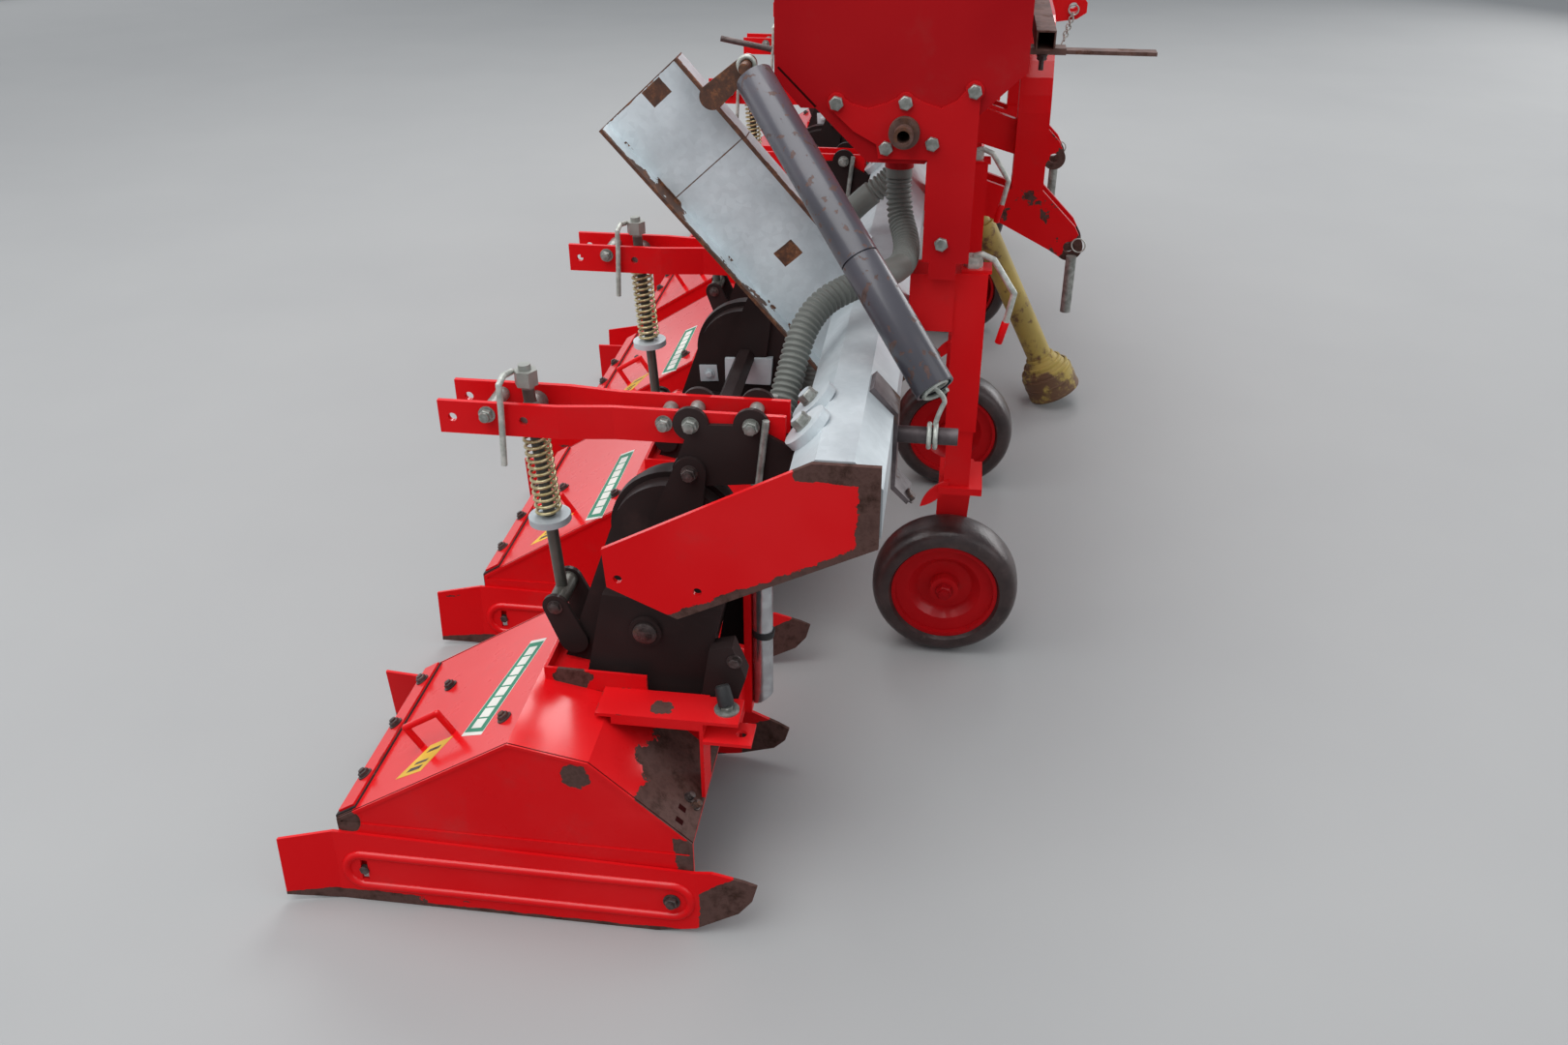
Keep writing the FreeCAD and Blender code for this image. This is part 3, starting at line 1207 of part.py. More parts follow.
save("lid_hinge", lid_hinge())
save("metering_shaft", metering_shaft())
save("hopper_stands", hopper_stands())
save("channel_arms", channel_arms())
save("spring_tubes", spring_tubes())
save("beam_stubs", beam_stubs())
save("fertiliser_pipes", fertiliser_pipes())
save("shanks", shanks())
for row, hose in enumerate(hoses()):
    save("hose_%d" % (row + 1), hose)
save("lower_ears", lower_ears())
save("hung_pins", hung_pins())
save("hitch_arch", arch())
save("braces", braces())
save("gearbox", gearbox())
save("pto_shaft", pto_shaft())
save("front_rail", front_rail())
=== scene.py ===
"""Looks of the six-row inter-row rotary cultivator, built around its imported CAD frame.

Everything is in metres in the frame's own axes: +X forward, +Y to the machine's left, +Z up.
"""

import math

import bmesh
import bpy
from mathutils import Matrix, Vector


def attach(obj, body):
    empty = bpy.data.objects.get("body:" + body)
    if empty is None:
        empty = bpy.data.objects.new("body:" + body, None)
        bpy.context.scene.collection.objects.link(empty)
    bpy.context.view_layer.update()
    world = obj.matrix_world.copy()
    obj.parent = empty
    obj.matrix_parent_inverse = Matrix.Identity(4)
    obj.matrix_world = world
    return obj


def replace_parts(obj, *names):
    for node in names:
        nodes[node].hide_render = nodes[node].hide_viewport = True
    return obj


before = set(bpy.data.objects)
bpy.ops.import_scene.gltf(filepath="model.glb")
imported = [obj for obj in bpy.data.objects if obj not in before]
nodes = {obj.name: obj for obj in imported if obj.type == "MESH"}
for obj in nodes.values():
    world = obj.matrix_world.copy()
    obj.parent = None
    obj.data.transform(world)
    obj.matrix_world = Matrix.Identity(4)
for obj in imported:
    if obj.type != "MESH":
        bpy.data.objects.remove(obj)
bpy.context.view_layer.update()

# Row layout, as the frame has it
ROWS = 6
PITCH = 0.75
ROW_Y = [(k - (ROWS - 1) / 2) * PITCH for k in range(ROWS)]

# The two mirrored sides, as signs of Y, and a square's corners
SIDES = (-1.0, 1.0)
SQUARE = ((-1, -1), (1, -1), (1, 1), (-1, 1))

# The CAD source's shift along X and a few of its dimensions, in its millimetres
SHIFT = -27.0
HOOD_HALF = 290.0
HOOD_SHORT = 130.0
HOPPER_HALF_L = 1372.0
LEG_YS = (-1315.0, -565.0, 565.0, 1315.0)

# Camera, worked out from the photograph's vanishing points in its 1620 x 1080 frame
PHOTO_W = 1620.0
FOCAL_PX = 1350.0
CAMERA_AT = (0.328, -3.675, 1.70)
CAMERA_PITCH = 30.6
CAMERA_YAW = 7.62
SENSOR_W = 36.0

# The sky's colour and strength, and each light's name, place, aim, size and power
SKY_COLOUR = (0.84, 0.90, 0.97, 1)
SKY_STRENGTH = 0.52
AREA_LIGHTS = (
    ("overhead", (-1.5, -2.5, 6.0), (0, -0.5, 0.4), (6.0, 8.0), 390.0),
    ("front_fill", (4.5, -4.0, 3.0), (0, -1.0, 0.5), (4.0, 3.0), 30.0),
    ("rear_panel", (-8.5, 4.4, 1.9), (0, -1.5, 1.2), (12.0, 3.6), 95.0),
    ("side_panel", (6.6, 4.8, 2.7), (0, -1.5, 0.8), (7.0, 3.6), 230.0),
    ("high_panel", (-0.3, 4.0, 5.4), (-0.2, -2.0, 0.4), (3.4, 2.6), 170.0),
)
FLOOR_HALF = 40.0


def side(k):
    """Sign of the machine's side that a row stands on."""
    return -1.0 if k < ROWS / 2 else 1.0


def make_camera():
    data = bpy.data.cameras.new("camera")
    data.sensor_width = SENSOR_W
    data.lens = FOCAL_PX / PHOTO_W * SENSOR_W
    data.clip_start, data.clip_end = 0.05, 200.0
    camera = bpy.data.objects.new("camera", data)
    camera.location = CAMERA_AT
    camera.rotation_euler = (math.radians(90 - CAMERA_PITCH), 0, math.radians(CAMERA_YAW))
    bpy.context.scene.collection.objects.link(camera)
    bpy.context.scene.camera = camera


def make_light():
    """Soft daylight from a pale sky, a broad overhead light and panels that the paint mirrors."""
    bpy.context.scene.view_settings.view_transform = "Standard"
    world = bpy.data.worlds.new("sky")
    world.use_nodes = True
    bpy.context.scene.world = world
    background = world.node_tree.nodes["Background"]
    background.inputs["Color"].default_value = SKY_COLOUR
    background.inputs["Strength"].default_value = SKY_STRENGTH
    for name, at, aim, size, power in AREA_LIGHTS:
        data = bpy.data.lights.new(name, "AREA")
        data.shape = "RECTANGLE"
        data.size, data.size_y = size
        data.energy = power
        light = bpy.data.objects.new(name, data)
        light.location = at
        light.rotation_euler = (Vector(aim) - Vector(at)).to_track_quat("-Z", "Y").to_euler()
        bpy.context.scene.collection.objects.link(light)


def mm(x, y, z):
    """A point given in the CAD source's millimetres, before its shift along X."""
    return Vector(((x + SHIFT) / 1000, y / 1000, z / 1000))


# Soft borders of masks in metres, and settings that all materials share
PLANE_SOFT = 0.0004
BALL_SOFT = 0.0015
COAT_ROUGH = 0.16
BUMP_STRENGTH = 0.8


class Paint:
    """Adds and links the shader nodes of one material."""

    def __init__(self, name):
        self.material = bpy.data.materials.new(name)
        self.material.use_nodes = True
        self.tree = self.material.node_tree
        self.bsdf = self.tree.nodes["Principled BSDF"]
        self.place = self.tree.nodes.new("ShaderNodeTexCoord").outputs["Object"]

    def fill(self, node, inputs):
        """Links or sets the inputs of a node."""
        for key, value in dict(inputs).items():
            socket = node.inputs[key]
            if isinstance(value, bpy.types.NodeSocket):
                self.tree.links.new(value, socket)
            else:
                socket.default_value = (*value, 1) if socket.type == "RGBA" else value

    def add(self, kind, inputs=(), **settings):
        node = self.tree.nodes.new(kind)
        for key, value in settings.items():
            setattr(node, key, value)
        self.fill(node, inputs)
        return node

    def noise(self, scale, detail=4.0, rough=0.55, stretch=(1, 1, 1)):
        mapping = self.add("ShaderNodeMapping", {"Vector": self.place, "Scale": stretch})
        node = self.add("ShaderNodeTexNoise", {"Vector": mapping.outputs[0], "Scale": scale,
                                               "Detail": detail, "Roughness": rough})
        return node.outputs["Fac"]

    def cells(self, scale):
        node = self.add("ShaderNodeTexVoronoi", {"Vector": self.place, "Scale": scale})
        return node.outputs["Color"]

    def height(self):
        return self.add("ShaderNodeSeparateXYZ", {"Vector": self.place}).outputs["Z"]

    def facing(self, axis):
        """How much the surface faces along X, Y or Z."""
        normal = self.add("ShaderNodeNewGeometry").outputs["Normal"]
        return self.add("ShaderNodeSeparateXYZ", {"Vector": normal}).outputs[axis]

    def beyond(self, direction, point, rough=0.0, scale=14.0):
        """Distance in metres past a plane through a point, with a ragged edge."""
        d = Vector(direction).normalized()
        dot = self.add("ShaderNodeVectorMath", {0: self.place, 1: tuple(d)}, operation="DOT_PRODUCT")
        far = self.minus(dot.outputs["Value"], d.dot(Vector(point)))
        if rough > 0:
            torn = self.minus(self.noise(scale, 8.0, 0.68), 0.5)
            far = self.plus(far, self.times(torn, rough))
        return far

    def band(self, axis, middle, half, rough, scale):
        """Distances inside the two ragged edges of a band across an axis."""
        return (self.beyond(-axis, middle + axis * half, rough, scale),
                self.beyond(axis, middle - axis * half, rough, scale))

    def near(self, point, radius, rough, scale):
        """1 inside a ragged ball round a point."""
        gap = self.add("ShaderNodeVectorMath", {0: self.place, 1: tuple(point)}, operation="DISTANCE")
        torn = self.times(self.minus(self.noise(scale, 5.0), 0.5), rough)
        return self.step(self.plus(gap.outputs["Value"], torn), radius, radius - BALL_SOFT)

    def past(self, *distances):
        """1 where every distance is positive."""
        out = None
        for far in distances:
            one = self.step(far, -PLANE_SOFT, PLANE_SOFT)
            out = one if out is None else self.times(out, one)
        return out

    def either(self, *masks):
        out = masks[0]
        for mask in masks[1:]:
            out = self.math("MAXIMUM", out, mask)
        return out

    def step(self, value, low, high):
        node = self.add("ShaderNodeMapRange", {"Value": value, "From Min": low, "From Max": high},
                        interpolation_type="SMOOTHSTEP")
        return node.outputs["Result"]

    def math(self, kind, a, b):
        return self.add("ShaderNodeMath", {0: a, 1: b}, operation=kind).outputs[0]

    def plus(self, a, b):
        return self.math("ADD", a, b)

    def minus(self, a, b):
        return self.math("SUBTRACT", a, b)

    def times(self, a, b):
        return self.math("MULTIPLY", a, b)

    def ramp(self, value, *stops):
        node = self.add("ShaderNodeValToRGB", {"Fac": value})
        points = node.color_ramp.elements
        while len(points) < len(stops):
            points.new(0.5)
        for point, (at, colour) in zip(points, stops):
            point.position = at
            point.color = (*colour, 1)
        return node.outputs["Color"]

    def mix(self, amount, a, b):
        """Blends two colours; the numbers are the Mix node's sockets for them."""
        return self.add("ShaderNodeMix", {0: amount, 6: a, 7: b}, data_type="RGBA").outputs[2]

    def edges(self, radius=0.004):
        """1 near sharp edges and 0 on flat faces."""
        soft = self.add("ShaderNodeBevel", {"Radius": radius}, samples=4).outputs["Normal"]
        flat = self.add("ShaderNodeNewGeometry").outputs["Normal"]
        dot = self.add("ShaderNodeVectorMath", {0: soft, 1: flat}, operation="DOT_PRODUCT")
        return self.step(dot.outputs["Value"], 0.99, 0.80)

    def finish(self, colour, rough, metal=0.0, height=None, bump=0.0005, coat=0.0, shine=0.5):
        self.fill(self.bsdf, {"Base Color": colour, "Roughness": rough, "Metallic": metal,
                              "Coat Weight": coat, "Coat Roughness": COAT_ROUGH,
                              "Specular IOR Level": shine})
        if height is not None:
            node = self.add("ShaderNodeBump", {"Height": height, "Distance": bump,
                                               "Strength": BUMP_STRENGTH})
            self.tree.links.new(node.outputs["Normal"], self.bsdf.inputs["Normal"])
        return self.material


# Colours of rust, primer and old bare sheet
RUST_DARK = (0.040, 0.020, 0.015)
RUST_MID = (0.105, 0.042, 0.022)
RUST_WARM = (0.230, 0.085, 0.032)
PRIMER = (0.056, 0.029, 0.025)
BARE_BROWN = (0.105, 0.056, 0.048)


def painted(name, colour, pale, chips, rough=0.28, torn=None, coat=(0.02, 0.82), shine=0.05):
    """Sprayed paint: slight fading, grime, chips to primer and rust, and torn areas.

    coat is the clear gloss on upright faces and what faces that look up have beyond it, or None.
    """
    p = Paint(name)
    body = p.mix(p.step(p.noise(2.3, 3.0), 0.40, 0.72), colour, pale)
    grime = p.step(p.noise(9.0, 6.0, 0.65), 0.56, 0.82)
    body = p.mix(p.times(grime, 0.16), body, (0.16, 0.08, 0.07))
    scuff = p.step(p.noise(3.2, 9.0, 0.72, (0.35, 1.0, 1.0)), 0.60, 0.76)
    body = p.mix(p.times(scuff, 0.20), body, tuple(min(1.0, c * 1.3 + 0.03) for c in pale))
    pick = p.plus(p.times(p.noise(7.0, 8.0, 0.62), 0.62), p.times(p.noise(38.0, 5.0, 0.6), 0.38))
    pick = p.plus(pick, p.times(p.edges(), 0.105))
    bare = p.step(pick, chips, chips + 0.010)
    rust = p.ramp(p.noise(55.0, 6.0, 0.7), (0.30, RUST_DARK), (0.52, PRIMER), (0.68, RUST_MID))
    if torn is not None:
        area = torn(p)
        worn = p.ramp(p.noise(26.0, 8.0, 0.72), (0.28, PRIMER), (0.48, BARE_BROWN), (0.66, RUST_DARK),
                      (0.74, RUST_MID), (0.86, (0.18, 0.13, 0.115)))
        rust = p.mix(area, rust, worn)
        bare = p.either(bare, area)
    colour_out = p.mix(bare, body, rust)
    rough_out = p.plus(p.times(bare, 0.34), p.plus(rough, p.times(p.noise(24.0), 0.14)))
    bumps = p.plus(p.times(bare, -0.8), p.times(p.noise(130.0, 3.0), 0.13))
    coat_out = 0.0
    if coat is not None:
        gloss = p.times(p.step(p.facing("Z"), 0.30, 0.75), p.minus(1.0, bare))
        coat_out = p.plus(coat[0], p.times(gloss, coat[1]))
    return p.finish(colour_out, rough_out, 0.0, bumps, 0.0006, coat_out, shine)


def torn_hood(p):
    """Bare lower half of the front slope, dark spots on the near hood and its worn front corner."""
    front = p.past(p.minus(p.facing("X"), 0.4), p.minus(p.facing("Z"), 0.4),
                   p.beyond((1, 0, 0), mm(-86, 0, 0), 0.13, 11.0))
    spot = p.near(mm(-181, -2165, 304), 0.025, 0.030, 45.0)
    rear = p.near(mm(-585, -2165, 164), 0.026, 0.016, 30.0)
    wall = p.past(p.beyond((1, 0, 0), mm(-26, 0, 0), 0.03, 20.0),
                  p.beyond((0, 0, -1), mm(0, 0, 190), 0.03, 20.0),
                  p.minus(-0.6, p.facing("Y")))
    return p.either(front, spot, rear, wall)


def torn_plate(p):
    """Paint torn off along the end plates' front, upper and lower edges."""
    front = p.past(p.beyond((1, 0, 0), mm(240, 0, 0), 0.060, 22.0))
    top = p.past(p.beyond((1, 0, 0.35), mm(160, 0, 800), 0.06, 9.0),
                 p.beyond((0, 0, 1), mm(0, 0, 804), 0.02, 24.0))
    low = p.past(p.beyond((0.4498, 0, -0.8931), mm(-27, 0, 562), 0.036, 26.0))
    return p.either(front, top, low)


def torn_wall(p):
    """Bare patches on the first row's wall and strap."""
    wall = p.near(mm(-228, -1989, 360), 0.032, 0.045, 45.0)
    strap = p.near(mm(-66, -2030, 352), 0.020, 0.040, 50.0)
    return p.either(wall, strap)


def torn_skid(p):
    """Scoured tip, lower edge and heel of the skids, and long scrapes."""
    tip = p.past(p.beyond((1, 0, 0), mm(14, 0, 0), 0.016, 40.0),
                 p.beyond((0.478, 0, -0.878), mm(11, 0, 84), 0.016, 40.0))
    low = p.past(p.beyond((0, 0, -1), mm(0, 0, 7), 0.030, 6.0))
    heel = p.past(p.beyond((0, 0, -1), mm(0, 0, 22), 0.020, 14.0),
                  p.beyond((-1, 0, 0), mm(-470, 0, 0), 0.30, 8.0))
    scrape = p.past(p.minus(p.noise(22.0, 8.0, 0.75, (0.16, 1.0, 1.0)), 0.655))
    return p.either(tip, low, heel, scrape)


def torn_tube(p):
    """Rust freckles and short scratches on the tubes."""
    freckles = p.past(p.minus(p.noise(62.0, 3.0, 0.5), 0.640))
    scratches = p.past(p.minus(p.noise(24.0, 6.0, 0.6, (1.0, 2.2, 0.45)), 0.632))
    return p.either(freckles, scratches)


def torn_ear(p):
    """Rubbed patches and tips of the hitch ears."""
    rub = p.past(p.minus(p.noise(17.0, 7.0, 0.66), 0.60), p.beyond((1, 0, 0), mm(400, 0, 0)))
    tip = p.past(p.beyond((1, 0, -0.8), mm(640, 0, 640), 0.05, 30.0))
    return p.either(rub, tip)


def galvanised(name, rusty=0.74, torn=None, gain=1.0):
    """Hot-dip zinc with spangles, pale runs and small rust stains."""
    p = Paint(name)
    dark, pale = tuple(c * gain for c in (0.43, 0.47, 0.49)), tuple(c * gain for c in (0.62, 0.67, 0.69))
    tone = p.mix(p.step(p.noise(5.0, 5.0), 0.35, 0.70), dark, pale)
    grey = p.add("ShaderNodeRGBToBW", {"Color": p.cells(85.0)}).outputs[0]
    tone = p.mix(p.times(grey, 0.20), tone, (0.32, 0.36, 0.38))
    streak = p.step(p.noise(4.0, 8.0, 0.7, (2.0, 2.0, 0.4)), 0.54, 0.74)
    tone = p.mix(p.times(streak, 0.30), tone, (0.70, 0.73, 0.73))
    stain = p.plus(p.times(p.noise(6.0, 8.0, 0.65), 0.7), p.times(p.noise(40.0, 4.0), 0.3))
    stain = p.plus(stain, p.times(p.edges(0.003), 0.10))
    mask = p.step(stain, rusty, rusty + 0.05)
    if torn is not None:
        mask = p.either(mask, torn(p))
    rust = p.ramp(p.noise(60.0, 6.0, 0.7), (0.30, RUST_DARK), (0.52, RUST_MID), (0.64, RUST_WARM),
                  (0.80, (0.36, 0.30, 0.24)))
    metal = p.times(p.minus(1.0, mask), 0.30)
    rough = p.plus(0.40, p.times(p.noise(30.0), 0.22))
    return p.finish(p.mix(mask, tone, rust), rough, metal, p.noise(170.0, 3.0), 0.0003)


# The channel's own axes: down its length, and across its web from the rear flange
CHANNEL_TOP = mm(-275, 0, 1124)
CHANNEL_DOWN = Vector((0.66695, 0, -0.74511))
CHANNEL_ACROSS = Vector((0.74511, 0, 0.66695))


def torn_channel(p):
    """Rusty flanges and ends, two rust squares, a line across the web and spots along its edges."""
    masks = [p.past(p.beyond((0, sign, 0), mm(0, sign * 1409, 0), 0.030, 30.0)) for sign in SIDES]
    for down, across in ((0.020, 0.113), (0.384, 0.099)):
        middle = CHANNEL_TOP + CHANNEL_DOWN * down + CHANNEL_ACROSS * across
        masks.append(p.past(*p.band(CHANNEL_DOWN, middle, 0.0165, 0.003, 60.0),
                            *p.band(CHANNEL_ACROSS, middle, 0.0215, 0.003, 60.0)))
    masks.append(p.past(p.beyond(-CHANNEL_DOWN, CHANNEL_TOP + CHANNEL_DOWN * 0.002, 0.010, 30.0)))
    masks.append(p.past(p.beyond(CHANNEL_DOWN, CHANNEL_TOP + CHANNEL_DOWN * 0.630, 0.030, 30.0)))
    line = CHANNEL_TOP + CHANNEL_DOWN * 0.1761
    masks.append(p.past(*p.band(CHANNEL_DOWN, line, 0.0011, 0.002, 60.0)))
    for offset in (0.0065, 0.1855):
        edge = CHANNEL_TOP + CHANNEL_ACROSS * offset
        spotty = p.minus(p.noise(11.0, 6.0, 0.6), 0.52)
        masks.append(p.past(*p.band(CHANNEL_ACROSS, edge, 0.0035, 0.004, 50.0), spotty))
    return p.either(*masks)


def steel(name, dark, pale, rusty, metal, rough, scale=30.0):
    """Worn metal that runs from dark to pale with rust in its hollows."""
    p = Paint(name)
    tone = p.mix(p.step(p.noise(scale, 6.0, 0.6), 0.35, 0.70), dark, pale)
    mask = p.step(p.noise(scale * 0.6, 8.0, 0.7), rusty, rusty + 0.10)
    rust = p.ramp(p.noise(scale * 3, 6.0, 0.7), (0.30, RUST_DARK), (0.60, RUST_MID), (0.82, RUST_WARM))
    metal_out = p.times(p.minus(1.0, mask), metal)
    rough_out = p.plus(rough, p.times(mask, 0.35))
    return p.finish(p.mix(mask, tone, rust), rough_out, metal_out, p.noise(scale * 5, 4.0), 0.0004)


# Height in metres at which the spring rods turn from dark to zinc
ROD_ZINC = (0.838, 0.842)


def rod_steel():
    """Dark steel rod whose top end and nut are zinc plated."""
    p = Paint("rod_steel")
    dark = p.mix(p.noise(50.0), (0.060, 0.058, 0.050), (0.150, 0.145, 0.125))
    zinc = p.mix(p.noise(50.0), (0.22, 0.225, 0.20), (0.42, 0.42, 0.39))
    tone = p.mix(p.step(p.height(), *ROD_ZINC), dark, zinc)
    return p.finish(tone, 0.40, 0.4, p.noise(200.0, 4.0), 0.0003)


def rubber(name, dark, pale, rough=0.62, dusty=0.45):
    """Worn solid rubber with scuffs and dried soil."""
    p = Paint(name)
    tone = p.mix(p.step(p.noise(12.0, 6.0, 0.65), 0.35, 0.72), dark, pale)
    dust = p.step(p.noise(45.0, 6.0, 0.7), 0.58, 0.78)
    tone = p.mix(p.times(dust, dusty), tone, (0.20, 0.16, 0.13))
    return p.finish(tone, rough, 0.0, p.noise(160.0, 5.0), 0.0008)


def plastic(name, colour, dirt, amount, low=None):
    """Faded plastic with dried dirt; low gives the heights between which it thickens, and by how much."""
    p = Paint(name)
    tone = p.mix(p.step(p.noise(6.0, 4.0), 0.35, 0.72), colour, tuple(c * 0.72 for c in colour))
    soil = p.noise(16.0, 8.0, 0.68)
    if low is not None:
        start, end, gain = low
        soil = p.plus(soil, p.times(p.step(p.height(), end, start), gain))
    tone = p.mix(p.step(soil, amount, amount + 0.12), tone, dirt)
    return p.finish(tone, 0.55, 0.0, p.noise(90.0, 5.0), 0.0005)


# The paints' own colours, and a darker copy of the red that is painted shade on the hopper, its lid and the
# hub nuts
RED = (0.685, 0.0055, 0.0085)
RED_PALE = (0.715, 0.015, 0.018)
RED_SHADED = (0.330, 0.0045, 0.008)
BLACK = (0.022, 0.0145, 0.0140)
BLACK_PALE = (0.046, 0.031, 0.030)

LOOKS = {
    "red": painted("red_paint", RED, RED_PALE, 0.735),
    # A darker copy of the red: painted shade on the hopper's stands and the rims
    "red_half_shade": painted("red_half_shade", (0.430, 0.0055, 0.0085), (0.540, 0.010, 0.013), 0.745),
    # A near-black red that is painted shade, laid in the hoods' gaps, the wear plate's holes and along the
    # hopper's bend
    "seam": painted("seam_shadow", (0.022, 0.003, 0.003), (0.034, 0.004, 0.004), 0.80, 0.60, None,
                    None, 0.02),
    # A darker copy of the red: painted shade on the hopper, its lid and the hub nuts
    "red_shaded": painted("red_shaded", RED_SHADED, (0.400, 0.008, 0.011), 0.745),
    "red_worn": painted("red_worn", RED, RED_PALE, 0.672, 0.32, torn_wall),
    "red_plate": painted("red_plate", RED, RED_PALE, 0.735, 0.28, torn_plate),
    "red_hood": painted("red_hood", RED, RED_PALE, 0.725, 0.22, torn_hood),
    "red_skid": painted("red_skid", RED, RED_PALE, 0.715, 0.30, torn_skid),
    "red_ear": painted("red_ear", RED, RED_PALE, 0.715, 0.30, torn_ear),
    "black": painted("black_paint", BLACK, BLACK_PALE, 0.735, 0.34, None, (0.02, 0.15)),
    "tube": painted("tube_paint", (0.052, 0.049, 0.060), (0.090, 0.084, 0.102), 0.690, 0.26, torn_tube,
                    (0.20, 0.20), 0.5),
    "zinc": steel("zinc_plate", (0.19, 0.195, 0.175), (0.38, 0.385, 0.36), 0.70, 0.45, 0.38, 60.0),
    "chrome": steel("bright_pipe", (0.42, 0.42, 0.43), (0.62, 0.62, 0.64), 0.70, 0.85, 0.24, 40.0),
    "wire": steel("grey_wire", (0.36, 0.38, 0.34), (0.60, 0.61, 0.56), 0.70, 0.35, 0.42, 70.0),
    "yellow_zinc": steel("yellow_zinc", (0.42, 0.34, 0.16), (0.70, 0.62, 0.38), 0.76, 0.7, 0.30, 90.0),
    "bare": steel("bare_steel", (0.12, 0.105, 0.095), (0.28, 0.26, 0.24), 0.56, 0.5, 0.45),
    "dark_bolt": steel("dark_bolt", (0.045, 0.032, 0.030), (0.12, 0.09, 0.085), 0.55, 0.5, 0.45, 60.0),
    "rusty": steel("rusty_steel", (0.085, 0.040, 0.030), (0.19, 0.105, 0.085), 0.52, 0.15, 0.66, 22.0),
    "clamp": steel("clamp_steel", (0.055, 0.040, 0.042), (0.15, 0.125, 0.130), 0.54, 0.35, 0.50, 18.0),
    "galvanised": galvanised("galvanised"),
    "galvanised_rusty": galvanised("galvanised_rusty", 0.72, torn_channel, 1.35),
    "tyre": rubber("tyre_rubber", (0.024, 0.0120, 0.0115), (0.062, 0.036, 0.034), 0.29, 0.30),
    "rod_steel": rod_steel(),
    "flap": rubber("rubber_sheet", (0.012, 0.010, 0.010), (0.034, 0.029, 0.027)),
    "black_rubber": rubber("black_rubber", (0.008, 0.008, 0.009), (0.022, 0.021, 0.022)),
    "hose": plastic("hose_grey", (0.155, 0.162, 0.145), (0.12, 0.095, 0.070), 0.66),
    "guard": plastic("guard_yellow", (0.46, 0.335, 0.075), (0.135, 0.065, 0.030), 0.555, (0.01, 0.22, 0.20)),
    "green_film": plastic("green_film", (0.020, 0.210, 0.120), (0.25, 0.22, 0.18), 0.76),
    "white_film": plastic("white_film", (0.74, 0.72, 0.66), (0.40, 0.30, 0.24), 0.74),
    "yellow_film": plastic("yellow_film", (0.78, 0.46, 0.035), (0.40, 0.20, 0.06), 0.74),
}

# The CAD nodes that wear each look; an underscore at the end stands for all its numbers
NODE_LOOKS = {
    "red": "spring_arms leg_sockets leg_stems lid_hinge shanks hitch_arch braces",
    # This darker red is painted shade on the hopper's stands and the rims
    "red_half_shade": "hopper_stands rim_",
    # This darker red is painted shade on the hopper and its lid
    "red_shaded": "hopper hopper_lid",
    "red_worn": "hood_brackets hood_fittings",
    "red_plate": "end_plates",
    "red_hood": "hoods",
    "red_skid": "skids",
    "red_ear": "lower_ears",
    "black": "arm_brackets shaft_hangers drive_cases drive_shaft clevises gearbox",
    "galvanised": "beam adjust_discs spring_cups",
    "galvanised_rusty": "channel_arms",
    "zinc": "arm_bolts hung_pins",
    "wire": "rod_levers leg_cranks",
    "bare": "trunnions rotor_",
    "rusty": "metering_shaft front_rail",
    "clamp": "beam_stubs",
    "chrome": "fertiliser_pipes",
    "tube": "spring_tubes",
    "rod_steel": "spring_rods",
    "yellow_zinc": "springs",
    "guard": "pto_shaft",
    "flap": "hood_flaps",
    "tyre": "tyre_",
    "hose": "hose_",
}


def dress_nodes():
    looks = {start: LOOKS[look] for look, starts in NODE_LOOKS.items() for start in starts.split()}
    for name, obj in nodes.items():
        obj.data.materials.clear()
        obj.data.materials.append(looks[name.rstrip("0123456789")])


def spokes(axis):
    """Function of an angle that gives the direction away from an axis there."""
    across = axis.orthogonal().normalized()
    other = axis.cross(across)
    return lambda turn: across * math.cos(turn) + other * math.sin(turn)


def quads(rows, sides, closed=False):
    """Faces between closed rows of points, and from the last row to the first where closed."""
    faces = []
    for i in range(rows if closed else rows - 1):
        here, there = i * sides, (i + 1) % rows * sides
        for j in range(sides):
            k = (j + 1) % sides
            faces.append((here + j, here + k, there + k, there + j))
    return faces


def tube_mesh(path, radii, sides):
    """Vertices and faces of a closed tube round a path of points, with one radius for each point."""
    verts = []
    count = len(path)
    across = None
    for i, here in enumerate(path):
        ahead = path[min(i + 1, count - 1)] - path[max(i - 1, 0)]
        ahead.normalize()
        if across is None:
            across = ahead.orthogonal().normalized()
        else:
            across = (across - ahead * across.dot(ahead)).normalized()
        other = ahead.cross(across)
        for j in range(sides):
            turn = 2 * math.pi * j / sides
            verts.append(here + (across * math.cos(turn) + other * math.sin(turn)) * radii[i])
    ends = [tuple(reversed(range(sides))), tuple(range((count - 1) * sides, count * sides))]
    return verts, quads(count, sides) + ends


# Bolt heads: the washer's thickness, and where the crown's chamfer starts and how narrow it ends
WASHER_T = 0.0022
CROWN_START = 0.82
CROWN_END = 0.84

# Radius of a lathe's point on its axis
LEAST_R = 1e-5

# Angle in radians above which an edge gets a bevel, and the bevel's roundness
BEVEL_ANGLE = 0.6
BEVEL_ROUND = 0.6


